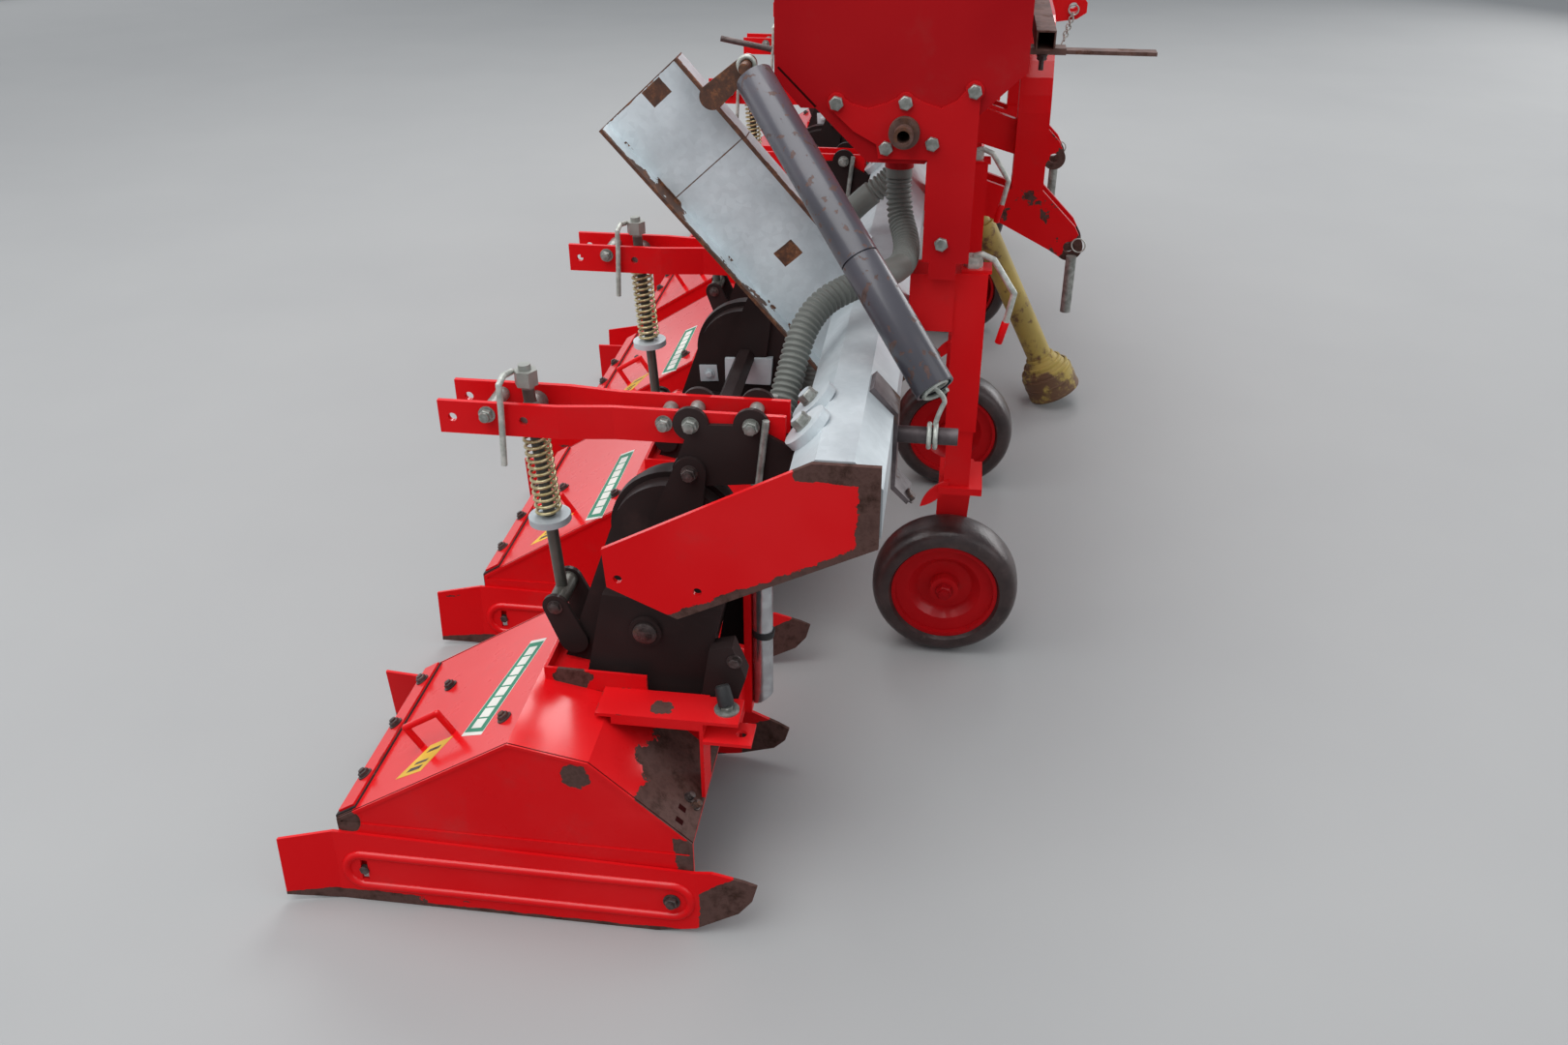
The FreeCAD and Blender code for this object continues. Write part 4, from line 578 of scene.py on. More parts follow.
class Form:
    """Collects the geometry of one piece."""

    def __init__(self):
        self.verts = []
        self.faces = []

    def add(self, verts, faces):
        start = len(self.verts)
        self.verts += [tuple(v) for v in verts]
        self.faces += [tuple(start + i for i in face) for face in faces]

    def tube(self, points, radius, sides=12):
        path = [Vector(p) for p in points]
        self.add(*tube_mesh(path, [radius] * len(path), sides))

    def lathe(self, profile, at, axis, sides=24):
        """Revolves (distance along the axis, radius) pairs round an axis that starts at a point."""
        along = Vector(axis).normalized()
        spoke = spokes(along)
        verts = [Vector(at) + along * d + spoke(2 * math.pi * j / sides) * max(r, LEAST_R)
                 for d, r in profile for j in range(sides)]
        self.add(verts, quads(len(profile), sides))

    def ring(self, middle, normal, major, minor, stretch=None):
        """Round wire ring; stretch lengthens it along a vector."""
        along = Vector(normal).normalized()
        spoke = spokes(along)
        verts = []
        sides, small = 24, 8
        for i in range(sides):
            out = spoke(2 * math.pi * i / sides)
            for j in range(small):
                b = 2 * math.pi * j / small
                spot = out * (major + minor * math.cos(b)) + along * minor * math.sin(b)
                if stretch is not None:
                    pull = stretch.normalized()
                    spot = spot + pull * spot.dot(pull) * (stretch.length - 1)
                verts.append(Vector(middle) + spot)
        self.add(verts, quads(sides, small, closed=True))

    def slab(self, outline, thickness, axis):
        """Extrudes a flat outline of 3-D points along an axis."""
        n = len(outline)
        push = Vector(axis).normalized() * thickness
        verts = [Vector(p) for p in outline] + [Vector(p) + push for p in outline]
        faces = [tuple(reversed(range(n))), tuple(range(n, 2 * n))]
        faces += [(i, (i + 1) % n, n + (i + 1) % n, n + i) for i in range(n)]
        self.add(verts, faces)

    def bolt(self, at, axis, flats, head, washer=0.0, stub=0.0, thread=0.006):
        """Hex bolt head with a chamfered crown on a round washer, seated at a point."""
        base = 0.0
        if washer > 0:
            base = WASHER_T
            self.lathe([(0, 0), (0, washer), (base, washer), (base, 0)], at, axis, 24)
        r = flats / math.sqrt(3.0)
        self.lathe([(base, 0), (base, r), (base + head * CROWN_START, r), (base + head, r * CROWN_END),
                    (base + head, 0)], at, axis, 6)
        if stub > 0:
            self.lathe([(base, thread), (base + head + stub, thread), (base + head + stub + 0.001, 0)],
                       at, axis, 12)

    def piece(self, name, look, body="frame", smooth=40.0, bevel=0.0):
        mesh = bpy.data.meshes.new(name)
        mesh.from_pydata(self.verts, [], self.faces)
        work = bmesh.new()
        work.from_mesh(mesh)
        bmesh.ops.recalc_face_normals(work, faces=work.faces)
        if bevel > 0:
            sharp = [e for e in work.edges
                     if len(e.link_faces) == 2 and e.calc_face_angle(0) > BEVEL_ANGLE]
            bmesh.ops.bevel(work, geom=sharp, offset=bevel, segments=2, affect="EDGES",
                            profile=BEVEL_ROUND)
        for face in work.faces:
            face.smooth = True
        for edge in work.edges:
            if len(edge.link_faces) == 2 and edge.calc_face_angle(0) > math.radians(smooth):
                edge.smooth = False
        work.to_mesh(mesh)
        work.free()
        mesh.materials.append(LOOKS[look])
        obj = bpy.data.objects.new(name, mesh)
        bpy.context.scene.collection.objects.link(obj)
        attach(obj, body)
        return obj


def smooth_path(points):
    """Points along the quadratic NURBS spline that has these control points."""
    curve = bpy.data.curves.new("path", "CURVE")
    curve.dimensions = "3D"
    spline = curve.splines.new("NURBS")
    spline.points.add(len(points) - 1)
    for slot, p in zip(spline.points, points):
        slot.co = (*p, 1)
    spline.order_u = 3
    spline.use_endpoint_u = True
    spline.resolution_u = 24
    obj = bpy.data.objects.new("path", curve)
    mesh = bpy.data.meshes.new_from_object(obj)
    path = [v.co.copy() for v in mesh.vertices]
    bpy.data.objects.remove(obj)
    bpy.data.meshes.remove(mesh)
    bpy.data.curves.remove(curve)
    return path


def resample(path, gap):
    """Evenly spaced points along a path, and its end unless the last of them is close to it."""
    out = [path[0].copy()]
    left = gap
    for a, b in zip(path, path[1:]):
        run = (b - a).length
        while run >= left:
            a = a + (b - a).normalized() * left
            out.append(a.copy())
            run -= left
            left = gap
        left -= run
    if (out[-1] - path[-1]).length > gap * 0.3:
        out.append(path[-1].copy())
    return out


# Hoses from the hopper's spouts to the pipes in front of the rotors, in metres
HOSE_R = 0.025
HOSE_RIB = 0.0105
RIB_DEPTH = 0.0044
RIB_WAVE = (0.0, 0.55, 1.0, 1.0, 0.55, 0.0)
RIB_STEP = HOSE_RIB / len(RIB_WAVE)
PLAIN_DROP = 0.0005
PLAIN_TOP = 0.02
PLAIN_END = 0.03

# Start and end of the smooth bend, and the length, of the outer and the inner hoses
OUTER_HOSE = (0.26, 0.40, 1.0)
INNER_HOSE = (0.13, 0.20, 0.606)

# Outlets as shares of the hopper's half length from its end inwards, how far the outer hoses swing
# out, and the pipes' X and their distance from the row's middle
OUTLETS = (0.893, 0.753, 0.2063)
OUTER_REACH = 1530.0
PIPE_X = 70.2
PIPE_DY = 50.0

# Ways of the outer hoses out and back, and of the inner ones: X, share of the way sideways, Z
OUT_WAY = ((245, 0, 1030), (245, 0, 950), (272, 0.246, 903), (266, 0.59, 893), (205, 1, 915))
BACK_WAY = ((118, 0.237, 884), (94, 0.576, 780), (76, 0.88, 690), (PIPE_X, 1, 600), (PIPE_X, 1, 485))
INNER_WAY = ((245, 0, 1030), (245, 0, 970), (160, 0.1, 905), (98, 0, 830), (84, 0.15, 700),
             (PIPE_X, 1, 590), (PIPE_X, 1, 485))


def pipe_y(k):
    return ROW_Y[k] * 1000 - side(k) * PIPE_DY


def hose_route(k):
    """The CAD hose's own points, in millimetres before the shift."""
    outlet = side(k) * HOPPER_HALF_L * OUTLETS[min(k, ROWS - 1 - k)]
    reach = side(k) * OUTER_REACH
    ways = [(INNER_WAY, outlet, pipe_y(k))]
    if k in (0, ROWS - 1):
        ways = [(OUT_WAY, outlet, reach), (BACK_WAY, reach, pipe_y(k))]
    return [(x, start + share * (end - start), z) for way, start, end in ways for x, share, z in way]


def make_hoses():
    """Ribbed hoses, smooth at their bends and ends."""
    for k in range(ROWS):
        points = [((x + SHIFT) / 1000, y / 1000, z / 1000) for x, y, z in hose_route(k)]
        path = resample(smooth_path(points), RIB_STEP)
        total = (len(path) - 1) * RIB_STEP
        bend_start, bend_end, length = OUTER_HOSE if k in (0, ROWS - 1) else INNER_HOSE
        radii = []
        for i in range(len(path)):
            along = i * RIB_STEP
            if bend_start < along < bend_end or along < PLAIN_TOP or along > total - PLAIN_END:
                radii.append(HOSE_R - PLAIN_DROP)
            else:
                radii.append(HOSE_R - RIB_DEPTH * (1.0 - RIB_WAVE[i % len(RIB_WAVE)]))
        form = Form()
        form.add(*tube_mesh(path, radii, 20))
        hose = form.piece("ribbed_hose_%d" % (k + 1), "hose", smooth=80.0)
        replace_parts(hose, "hose_%d" % (k + 1))


# Coil springs on the rods of the six arms
SPRING_TURNS = 13
SPRING_COIL_R = 0.0200
WIRE_R = 0.0028
SPRING_Z = (615.0, 771.0)
ROD_LOW = (-268.0, 459.0)
ROD_TOP = (-293.0, 880.0)


def coil(start, axis, length, turns, radius, wire, steps=20):
    """Vertices and faces of a coil round an axis."""
    spoke = spokes(axis)
    count = int(turns * steps)
    path = [start + axis * length * t + spoke(2 * math.pi * turns * t) * radius
            for t in (i / count for i in range(count + 1))]
    return tube_mesh(path, [wire] * len(path), 8)


def on_rod(y, z):
    t = (z - ROD_LOW[1]) / (ROD_TOP[1] - ROD_LOW[1])
    return mm(ROD_LOW[0] + t * (ROD_TOP[0] - ROD_LOW[0]), y, z)


def make_springs():
    form = Form()
    for row in ROW_Y:
        low, high = [on_rod(row * 1000, z) for z in SPRING_Z]
        length = (high - low).length
        form.add(*coil(low, (high - low).normalized(), length, SPRING_TURNS, SPRING_COIL_R, WIRE_R))
    coils = form.piece("coil_springs", "yellow_zinc", smooth=60.0)
    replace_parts(coils, "springs")


def both(y):
    """Sign and Y of a place on both sides."""
    return [(s, s * y) for s in SIDES]


# Balance tubes at the hopper's ends: axis in millimetres, section in metres, seam as a share
TUBE_LOW = (342.0, 1775.0, 830.0)
TUBE_TOP = (5.0, 1440.0, 1228.0)
TUBE_R = 0.033
TUBE_WALL = 0.0045
TUBE_HOLLOW = 0.055
TUBE_EDGE = (0.0008, 0.0006)
TUBE_SEAM = 0.40
SEAM_HALF = (0.0010, 0.0016)
SEAM_DEPTH = 0.0028

# Coils in the tubes' ends: how deep they start, their lengths, and turns, radius, wire and steps
COIL_DEPTH = 0.045
COIL_LOW = 0.052
COIL_TOP = 0.049
COIL_SHAPE = (4.5, 0.0215, 0.0038, 24)

# Hooks in millimetres: the stub and pin they hold, their wire, and the low stem's way up
STUB_Z = 748.0
STUB_R = 14.0
STUB_DX = 5.0
PIN_R = 9.0
HOOK_R = 4.0
HOOK_GAP = 1.0
STEM = ((3, 0, 19), (10, 0, 48), (20, -2, 66))


def make_tubes():
    tubes, wires = Form(), Form()
    for s in SIDES:
        low = mm(TUBE_LOW[0], s * TUBE_LOW[1], TUBE_LOW[2])
        top = mm(TUBE_TOP[0], s * TUBE_TOP[1], TUBE_TOP[2])
        length = (top - low).length
        along = (top - low).normalized()
        inner = TUBE_R - TUBE_WALL
        seam = TUBE_SEAM * length
        groove = TUBE_R - SEAM_DEPTH
        run, drop = TUBE_EDGE
        bottom, lip = SEAM_HALF
        profile = [(TUBE_HOLLOW, 0), (TUBE_HOLLOW, inner), (0, inner), (0, TUBE_R - drop), (run, TUBE_R),
                   (seam - lip, TUBE_R), (seam - bottom, groove), (seam + bottom, groove),
                   (seam + lip, TUBE_R), (length - run, TUBE_R), (length, TUBE_R - drop),
                   (length, inner), (length - TUBE_HOLLOW, inner), (length - TUBE_HOLLOW, 0)]
        tubes.lathe(profile, low, along, 40)
        wires.add(*coil(low + along * COIL_DEPTH, -along, COIL_LOW, *COIL_SHAPE))
        wires.add(*coil(top - along * COIL_DEPTH, along, COIL_TOP, *COIL_SHAPE))
        for dx in (-STUB_DX, STUB_DX):
            stub = mm(TUBE_LOW[0] + dx, s * TUBE_LOW[1], STUB_Z)
            wires.ring(stub, (1, 0, 0), (STUB_R + HOOK_GAP + HOOK_R) / 1000, HOOK_R / 1000)
        stem = [mm(TUBE_LOW[0] + dx, s * (TUBE_LOW[1] + dy), STUB_Z + dz) for dx, dy, dz in STEM]
        wires.tube(smooth_path(stem + [low + along * 0.004]), HOOK_R / 1000)
        pin = top + along * 0.026
        wires.ring(pin, (0, 1, 0), (PIN_R + HOOK_GAP + HOOK_R) / 1000, HOOK_R / 1000)
        wires.tube([pin - along * 0.0135, top - along * 0.008], HOOK_R / 1000)
    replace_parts(tubes.piece("hollow_tubes", "tube"), "spring_tubes")
    wires.piece("tube_springs", "wire", smooth=70.0)


# Outline of the hoods seen from the side, from the rear edge over the ridge to the front edge
HOOD_LINE = ((-600.0, 166.0), (-286.0, 361.0), (-157.0, 336.0), (5.0, 186.0))
HOOD_REAR, HOOD_RIDGE, FRONT_TOP, FRONT_LOW = HOOD_LINE
FLAP_STACK = 7.0


def slope_out(start, end):
    """Outward direction of the slope between two points of the hoods' outline."""
    return Vector((start[1] - end[1], 0, end[0] - start[0])).normalized()


SLOPE_OUT = slope_out(HOOD_REAR, HOOD_RIDGE)
FRONT_OUT = slope_out(FRONT_TOP, FRONT_LOW)


def on_slope(along, y, off=0.0):
    """Point on the rear slope, in millimetres up from its rear edge and off its face."""
    up = Vector((SLOPE_OUT.z, 0, -SLOPE_OUT.x))
    return mm(HOOD_REAR[0], y, HOOD_REAR[1]) + (up * along + SLOPE_OUT * off) / 1000


def on_front(x, y, off=0.0):
    """Point on the front slope above an X, in millimetres off its face."""
    share = (x - FRONT_TOP[0]) / (FRONT_LOW[0] - FRONT_TOP[0])
    return mm(x, y, FRONT_TOP[1] + share * (FRONT_LOW[1] - FRONT_TOP[1])) + FRONT_OUT * off / 1000


def hood_reach(k):
    """Distances from the row's middle to the hood's right and left sides."""
    return (HOOD_SHORT if k == ROWS - 1 else HOOD_HALF), (HOOD_SHORT if k == 0 else HOOD_HALF)


def hood_sides():
    """Sign and Y of each side of each hood."""
    for k in range(ROWS):
        for s, reach in zip(SIDES, hood_reach(k)):
            yield s, ROW_Y[k] * 1000 + s * reach


# Stickers' corners, in millimetres up the rear slope and sideways from the row's middle
GREEN_NEAR = ((236, -200), (290, -224), (339, 18), (297, 34))
GREEN_OTHER = ((269, -265), (323, -295), (318, 18), (274, 32))
YELLOW = ((112, -247), (172, -255), (212, -186), (160, -184))

# Layers' heights off the slope, the pale border's width and how much farther corners draw in, in
# millimetres, and a layer's thickness in metres
BACKING = 0.05
FIELD = 0.30
PRINT = 0.55
BORDER = 5.0
CORNER_DRAW = 1.7
FILM_T = 0.00025

# Bars along a sticker, as shares of its length: first start, spread and widths; and across it
GREEN_BARS = 8
BAR_START = 0.07
BAR_SPREAD = 0.86
BAR_FILL = 0.74
GREEN_ACROSS = (0.25, 0.75)
YELLOW_BARS = ((0.12, 0.24), (0.34, 0.42), (0.70, 0.80))
YELLOW_ACROSS = (0.22, 0.72)


def film(form, corners, row, flip, lift, border=0.0):
    """Flat sticker on a rear slope, drawn in by a border; flip mirrors it for the left-hand rows."""
    points = [Vector(corner) for corner in corners]
    middle = sum(points, Vector((0, 0))) / len(points)
    outline = []
    for point in points:
        out = point - middle
        spot = middle + out * (1.0 - border * CORNER_DRAW / out.length)
        outline.append(on_slope(spot.x, row + flip * spot.y, lift))
    form.slab(outline, FILM_T, SLOPE_OUT)


def between(corners, low, high, inner, outer):
    """Part of a four-cornered sticker: from low to high of its length, inner to outer of its width."""
    a, b, c, d = [Vector(corner) for corner in corners]

    def at(along, across):
        return b.lerp(c, along).lerp(a.lerp(d, along), across)

    return at(low, outer), at(low, inner), at(high, inner), at(high, outer)


def make_films():
    """Bare stickers where the machine carries its labels, with plain bars for their print."""
    white, green, yellow, bars = Form(), Form(), Form(), Form()
    for k in range(ROWS):
        row = ROW_Y[k] * 1000
        flip = -side(k)
        corners = GREEN_NEAR if k in (0, ROWS - 1) else GREEN_OTHER
        film(white, corners, row, flip, BACKING)
        film(green, corners, row, flip, FIELD, BORDER)
        film(yellow, YELLOW, row, flip, BACKING)
        for i in range(GREEN_BARS):
            low = BAR_START + BAR_SPREAD * i / GREEN_BARS
            bar = between(corners, low, low + BAR_FILL / GREEN_BARS, *GREEN_ACROSS)
            film(white, bar, row, flip, PRINT)
        for low, high in YELLOW_BARS:
            film(bars, between(YELLOW, low, high, *YELLOW_ACROSS), row, flip, FIELD)
    white.piece("sticker_borders", "white_film")
    bars.piece("sticker_bars", "dark_bolt")
    green.piece("sticker_fields", "green_film")
    yellow.piece("small_stickers", "yellow_film")


# Arm bolts, as the CAD has them: X, Z, half length under the heads, flats, and half length of the
# sleeve between the plates
ARM_BOLTS = ((-25, 812, 40, 21, 24), (69, 815, 40, 21, 24), (-28, 732, 48, 21, 0),
             (-346, 811, 43, 19, 35), (-68, 808, 32, 19, 24))
ARM_BOLT_R = 0.008
SLEEVE_R = 0.012
SLEEVE_PLAY = 0.3

# Height under which an arm bolt is one of the dark ones in the lobes
LOBE_TOP = 760.0


def make_arm_bolts():
    """Bolts of the spring arms with heads, nuts and sleeves."""
    fine, lobes = Form(), Form()
    for row in ROW_Y:
        y = row * 1000
        for x, z, half, flats, sleeve in ARM_BOLTS:
            form = lobes if z < LOBE_TOP else fine
            form.tube([mm(x, y - half, z), mm(x, y + half, z)], ARM_BOLT_R, 16)
            for s, stub in ((-1.0, 0.005), (1.0, 0.002)):
                form.bolt(mm(x, y + s * half, z), (0, s, 0), flats / 1000, washer=0.0135, head=0.009,
                          stub=stub, thread=0.0078)
            if sleeve > 0:
                reach = sleeve - SLEEVE_PLAY
                form.tube([mm(x, y - reach, z), mm(x, y + reach, z)], SLEEVE_R, 20)
    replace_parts(fine.piece("arm_bolts_fine", "zinc"), "arm_bolts")
    lobes.piece("lobe_bolts", "dark_bolt")


# Bolts on the hopper's end stands (X, Z) and how far past the hopper's end they sit
STAND_BOLTS = ((139, 1177), (258, 1181), (374, 1203), (227, 1103), (307, 1113), (333, 935))
STAND_OUT = 8.0

# Eccentric discs on the beam's rear bevel
DISC_FOOT = (161.0, 816.0)
DISC_DY = 45.0
DISC_T = 0.015

# Washer, bolt and rubber buffer on the straps of the hood brackets
STRAP_OUT = 184.0
FITTING = (40.0, 148.0, 352.0)
FITTING_WASHER = 2.5
BUFFER_UP = 7.0


def fittings(k):
    """Side and Y of a row's fittings; a short side of a hood has no strap."""
    return [(s, ROW_Y[k] * 1000 + s * FITTING[1])
            for s, reach in zip(SIDES, hood_reach(k)) if reach > STRAP_OUT]


def make_pale_bolts():
    """Zinc bolts on the hopper's brackets, the discs and the straps."""
    form = Form()
    for s, y in both(HOPPER_HALF_L + STAND_OUT):
        for x, z in STAND_BOLTS:
            form.bolt(mm(x, y, z), (0, s, 0), 0.022, head=0.0085)
    lean = Vector((-1, 0, 1)).normalized()
    for row in ROW_Y:
        for dy in (-DISC_DY, DISC_DY):
            foot = mm(DISC_FOOT[0], row * 1000 + dy, DISC_FOOT[1])
            form.bolt(foot + lean * DISC_T, lean, 0.026, washer=0.016, head=0.014)
    thick = FITTING_WASHER / 1000
    for k in range(ROWS):
        for s, y in fittings(k):
            form.lathe([(0, 0.0), (0, 0.021), (thick, 0.021), (thick, 0)],
                       mm(FITTING[0], y, FITTING[2]), (0, 0, 1))
            form.bolt(mm(FITTING[0], y, FITTING[2] + FITTING_WASHER), (0, 0, 1), 0.019, head=0.007)
    form.piece("pale_bolts", "zinc")


# Skid bolts: height, the leaning face there past the hood's side, and its tilt
SKID_BOLT_Z = 66.0
SKID_FACE = 12.0
SKID_TILT = 0.079

# Bolts on the rear slopes: up from the edge, sideways from the row's middle, and off the face
SLOPE_BOLTS = ((21, -197, FLAP_STACK), (21, -60, FLAP_STACK), (21, 70, FLAP_STACK),
               (118, 4, 0), (332, -204, 0))

# Bolts beside the chain cases and on the spring rods' feet: X, sideways, Z, flats, head
LINK_BOLTS = ((48, 112, 424, 0.016, 0.007), (26, 112, 345, 0.016, 0.007),
              (-268, 48, 459, 0.018, 0.006))

# Cap on the boss beside each chain case, and the bolt of the beam stubs' clamps
CASE_CAP = (-102, 98, 457)
CLAMP_BOLT = (308, 12, 640)


def make_dark_bolts():
    """Rusty bolts on the hoods, the skids, beside the cases, on the rods' feet and the clamps."""
    form = Form()
    for k in range(ROWS):
        y = ROW_Y[k] * 1000
        for along, dy, off in SLOPE_BOLTS:
            form.bolt(on_slope(along, y - side(k) * dy, off), SLOPE_OUT, 0.017, washer=0.013,
                      head=0.007, stub=0.003)
        for s, reach in zip(SIDES, hood_reach(k)):
            face = y + s * (reach + SKID_FACE)
            out = (0, s, SKID_TILT)
            form.bolt(mm(-32, face, SKID_BOLT_Z), out, 0.019, washer=0.0145, head=0.008, stub=0.004)
            form.bolt(mm(-562, face - s * 4, SKID_BOLT_Z), out, 0.015, washer=0.009, head=0.006)
        for s in SIDES:
            for x, dy, z, flats, head in LINK_BOLTS:
                form.bolt(mm(x, y + s * dy, z), (0, s, 0), flats, washer=0.013, head=head)
        cap = [(0, 0.0), (0, 0.020), (0.004, 0.020), (0.006, 0.017), (0.006, 0.0)]
        form.lathe(cap, mm(CASE_CAP[0], y - CASE_CAP[1], CASE_CAP[2]), (0, -1, 0), 32)
    for s, y in both(TUBE_LOW[1]):
        form.bolt(mm(CLAMP_BOLT[0], y + s * CLAMP_BOLT[1], CLAMP_BOLT[2]), (0.6, 0, 0.5), 0.019,
                  washer=0.014, head=0.008)
    form.piece("dark_bolts", "dark_bolt")


# Dark lines of painted shade in the gaps in from the hoods' sides, in millimetres, and their lift and
# thickness in metres
SEAM_IN = 3.0
SEAM_SHADE_W = 1.6
SEAM_SHADE_LIFT = 0.00005
SEAM_SHADE_T = 0.00035


def make_hood_gap_shade():
    """Painted shade: dark lines in the gaps where the side plates meet the bent sheet, on all three slopes.
    """
    form = Form()
    for s, y in hood_sides():
        outer = y - s * SEAM_IN
        inner = outer - s * SEAM_SHADE_W
        for (x0, z0), (x1, z1) in zip(HOOD_LINE, HOOD_LINE[1:]):
            out = slope_out((x0, z0), (x1, z1))
            corners = (mm(x0, outer, z0), mm(x1, outer, z1), mm(x1, inner, z1), mm(x0, inner, z0))
            form.slab([corner + out * SEAM_SHADE_LIFT for corner in corners], SEAM_SHADE_T, out)
    form.piece("hood_gap_shade", "seam")


# Marks of the wear plate on the front slopes, its holes drawn as dark squares of painted shade: X and
# distance in from the hood's side
WEAR_HOLES = ((-21, 26), (-22, 54))
WEAR_BOLTS = ((-18, 84), (-6, 78))
# Half size of the holes' dark squares of painted shade and their lift, in millimetres, and their thickness
# in metres
HOLE_HALF = 5.5
HOLE_LIFT = 0.05
HOLE_T = 0.0002


def make_front_marks():
    """Dark squares of painted shade for the wear plate's square holes, and its bolts, on the front slopes.
    """
    holes, bolts = Form(), Form()
    for s, edge in hood_sides():
        for x, inward in WEAR_HOLES:
            y = edge - s * inward
            corners = [on_front(x + dx * HOLE_HALF, y + dy * HOLE_HALF, HOLE_LIFT) for dx, dy in SQUARE]
            holes.slab(corners, HOLE_T, FRONT_OUT)
        for x, inward in WEAR_BOLTS:
            bolts.bolt(on_front(x, edge - s * inward), FRONT_OUT, 0.012, washer=0.009, head=0.006,
                       stub=0.004)
    holes.piece("wear_plate_hole_shade", "seam")
    bolts.piece("wear_plate_bolts", "dark_bolt")


# Profiles of the rubber buffers and of the strap round an outlet pipe, and the strap's loose end
BUFFER = [(0.001, 0), (0.001, 0.013), (0.008, 0.0135), (0.032, 0.0125), (0.036, 0.010), (0.036, 0)]
STRAP = [(0, 0.0181), (0, 0.0202), (0.012, 0.0202), (0.012, 0.0181)]
STRAP_Z = 366.0
STRAP_TAIL = ((52, -2, 372), (40, 14, 374), (28, 26, 369))


def make_rubbers():
    """Rubber buffers on the hoods' lugs and the strap round each outlet pipe."""
    form = Form()
    for k in range(ROWS):
        for s, y in fittings(k):
            form.lathe(BUFFER, mm(FITTING[0], y, FITTING[2] + BUFFER_UP), (-0.35, -s * 0.55, 1.0))
        form.lathe(STRAP, mm(PIPE_X, pipe_y(k), STRAP_Z), (0.12, 0, 1), 32)
        tail = [mm(x, pipe_y(k) + dy, z) for x, dy, z in STRAP_TAIL]
        form.tube(smooth_path(tail), 0.0022, 8)
    form.piece("rubber_parts", "black_rubber", smooth=60.0)


# Wheels: axle, radius, inset from the leg and the nut's distance out, in millimetres
WHEEL_X = 385.0
TYRE_R = 155.0
WHEEL_INSET = 25.0
NUT_OUT = 34.0

# The tyre's section in metres: its half width, seat and half width there, share of straight
# sidewall, and how square the shoulders are sideways and outwards
TYRE_HALF = 0.050
TYRE_SEAT = 0.112
SEAT_HALF = 0.040
SIDEWALL = 0.12
SHOULDER = (0.75, 0.62)
TYRE_STEPS = 28


def make_wheel_parts():
    hubs = Form()
    for leg in LEG_YS:
        out = math.copysign(1.0, leg)
        y = leg - out * WHEEL_INSET
        hubs.bolt(mm(WHEEL_X, y + out * NUT_OUT, TYRE_R), (0, out, 0), 0.030, washer=0.019,
                  head=0.012, stub=0.006, thread=0.011)
    # The hub nuts wear the darker copy of the red, which is painted shade
    hubs.piece("hub_nuts", "red_shaded")


def make_tyres():
    """Smooth solid tyres with round shoulders, one on each rim."""
    depth = TYRE_R / 1000 - TYRE_SEAT
    profile = [(-SEAT_HALF, TYRE_SEAT)]
    for j in range(TYRE_STEPS + 1):
        turn = math.pi * j / TYRE_STEPS
        wide = math.copysign(abs(math.cos(turn)) ** SHOULDER[0], -math.cos(turn))
        high = SIDEWALL + (1.0 - SIDEWALL) * math.sin(turn) ** SHOULDER[1]
        profile.append((TYRE_HALF * wide, TYRE_SEAT + depth * high))
    profile.append((SEAT_HALF, TYRE_SEAT))
    for i, leg in enumerate(LEG_YS):
        y = leg - math.copysign(WHEEL_INSET, leg)
        form = Form()
        form.lathe(profile, mm(WHEEL_X, y, TYRE_R), (0, 1, 0), 64)
        tyre = form.piece("smooth_tyre_%d" % (i + 1), "tyre", body="wheel_%d" % (i + 1), smooth=60.0)
        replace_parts(tyre, "tyre_%d" % (i + 1))


# Guard cone of the PTO shaft: its start, drop and length, and each ring's distance back from the
# cone's end, radius and half width
PTO_AT = (400.0, 603.0)
PTO_DROP = 63.2
PTO_L = 636.0
GUARD_RINGS = ((118, 42.5, 7.0), (98, 57.5, 7.0), (78, 71.5, 7.0), (40, 77.2, 5.0), (6, 77.45, 5.5))


def make_cone_rings():
    """Steps and rim of the guard cone."""
    a = math.radians(PTO_DROP)
    along = Vector((math.cos(a), 0, -math.sin(a)))
    form = Form()
    for back, r, half in GUARD_RINGS:
        at = PTO_L - back
        lo, hi = (at - half) / 1000, (at + half) / 1000
        r /= 1000
        form.lathe([(lo, r - 0.006), (lo + 0.001, r - 0.001), (lo + 0.0025, r), (hi - 0.0025, r),
                    (hi - 0.001, r - 0.001), (hi, r - 0.006)], mm(PTO_AT[0], 0, PTO_AT[1]), along, 48)
    form.piece("guard_rings", "guard", body="pto", smooth=50.0)


# Small parts seen from the side (X, Z): crank grip, case cover and its tab, bracket stay, hopper seam, a
# dark strip of painted shade along the hopper's bend
CRANK_END = ((464.0, 771.0), (453.0, 725.0))
GRIP = [(0.004, 0.0062), (0.005, 0.0074), (0.048, 0.0074), (0.0495, 0.006), (0.0495, 0)]
COVER = ((-104, 546), (-104, 602), (-3, 606), (-8, 546))
COVER_TAB = ((-160, 540), (-162, 578), (-124, 580), (-121, 543))
COVER_T = 0.016
TAB_T = 0.003
TAB_BOLT = (-140, 560)
CASE_FRONT = 40.0
STAY = ((93, 829), (79, 706))
STAY_DY = 46.0
HOPPER_SEAM_SHADE = ((35, 1231), (37.4, 1233.4), (104, 1168.6), (101, 1166.2))

# Short rod behind the hopper and bolt at the front rail
REAR_ROD = ((-147, -900, 1190), (-42, -900, 1171))
RAIL_BOLT = (497, -1055, 1205)


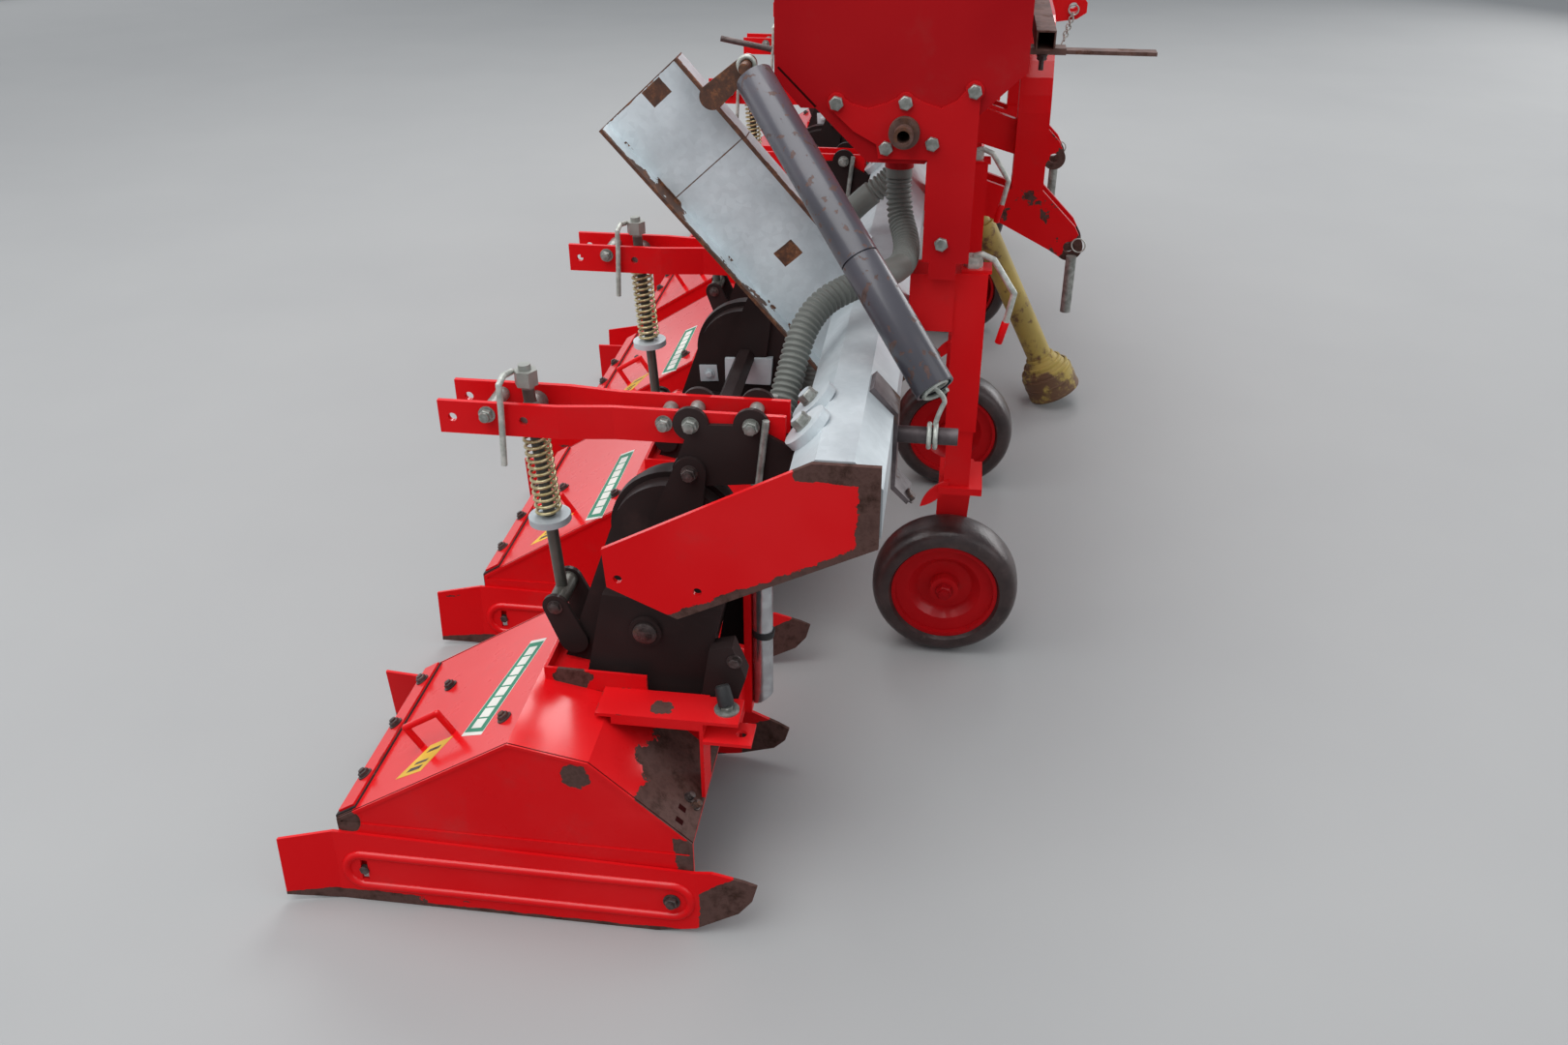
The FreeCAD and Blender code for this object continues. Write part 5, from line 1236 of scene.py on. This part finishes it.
def make_small_parts():
    """Crank grips, case covers, rear rod, rail bolt, bracket stays and painted shade along the hopper's
    seams.
    """
    grips, covers, rods, stays, seams = [Form() for part in range(5)]
    for y in LEG_YS:
        start, end = [mm(x, y, z) for x, z in CRANK_END]
        grips.lathe(GRIP, start, end - start, 20)
    for k in range(1, ROWS - 1):
        front = ROW_Y[k] * 1000 - CASE_FRONT
        for outline, thick in ((COVER, COVER_T), (COVER_TAB, TAB_T)):
            covers.slab([mm(x, front, z) for x, z in outline], thick, (0, -1, 0))
        covers.bolt(mm(TAB_BOLT[0], front - TAB_T * 1000, TAB_BOLT[1]), (0, -1, 0), 0.014,
                    washer=0.011, head=0.007)
    rods.tube([mm(*point) for point in REAR_ROD], 0.006, 12)
    rods.bolt(mm(*RAIL_BOLT), (0, 0, -1), 0.017, washer=0.011, head=0.009, stub=0.018, thread=0.005)
    for row in ROW_Y:
        for s in SIDES:
            stays.tube([mm(x, row * 1000 + s * STAY_DY, z) for x, z in STAY], 0.0056, 14)
    # Dark strips of painted shade along the hopper's bend at both ends
    for s, y in both(HOPPER_HALF_L):
        seams.slab([mm(x, y, z) for x, z in HOPPER_SEAM_SHADE], 0.0003, (0, s, 0))
    stays.piece("bracket_stays", "zinc", smooth=50.0)
    seams.piece("hopper_seam_shade", "seam")
    grips.piece("crank_grips", "red", smooth=50.0)
    covers.piece("case_covers", "galvanised", bevel=0.0012)
    rods.piece("rail_bolt", "dark_bolt")


# Chain at the top link: start, end, count and size of its links; and the rings of the hung pins
TOP_LINK = (621.0, 1129.0)
CHAIN_Y = -44.0
CHAIN_END = (603.0, 1052.0)
CHAIN_LINKS = 7
LINK_SIZE = (0.0062, 0.0016)
LINK_STRETCH = Vector((0, 0, 1.25))
PIN_RING = (662.0, 470.3, 643.0)


def make_chain():
    """Chain and clip hanging from the top-link bracket, and rings on the link pins."""
    form = Form()
    start = mm(TOP_LINK[0], CHAIN_Y, TOP_LINK[1] - 14)
    end = mm(CHAIN_END[0], CHAIN_Y - 6, CHAIN_END[1])
    for i in range(CHAIN_LINKS):
        here = start.lerp(end, (i + 0.5) / CHAIN_LINKS)
        normal = (0, 1, 0) if i % 2 else (1, 0.2, 0)
        form.ring(here, normal, *LINK_SIZE, stretch=LINK_STRETCH)
    form.ring(mm(TOP_LINK[0], CHAIN_Y, TOP_LINK[1] - 4), (0, 1, 0), 0.0125, 0.0022)
    form.tube([end, mm(598, CHAIN_Y - 4, 1040), mm(590, CHAIN_Y - 2, 1028)], 0.0018, 8)
    for s in SIDES:
        form.ring(mm(PIN_RING[0], s * PIN_RING[1], PIN_RING[2]), (0.3, 1, 0), 0.017, 0.0018)
    form.piece("chain_and_rings", "wire", smooth=70.0)


def make_floor():
    p = Paint("floor")
    tone = p.mix(p.noise(1.3, 3.0), (0.34, 0.34, 0.34), (0.38, 0.38, 0.375))
    material = p.finish(tone, 0.85)
    mesh = bpy.data.meshes.new("floor")
    corners = [(x * FLOOR_HALF, y * FLOOR_HALF, 0) for x, y in SQUARE]
    mesh.from_pydata(corners, [], [(0, 1, 2, 3)])
    mesh.materials.append(material)
    floor = bpy.data.objects.new("floor", mesh)
    bpy.context.scene.collection.objects.link(floor)


make_camera()
make_hoses()
make_light()
make_floor()
dress_nodes()
make_springs()
make_tubes()
make_films()
make_arm_bolts()
make_pale_bolts()
make_dark_bolts()
make_rubbers()
make_hood_gap_shade()
make_front_marks()
make_wheel_parts()
make_tyres()
make_cone_rings()
make_small_parts()
make_chain()
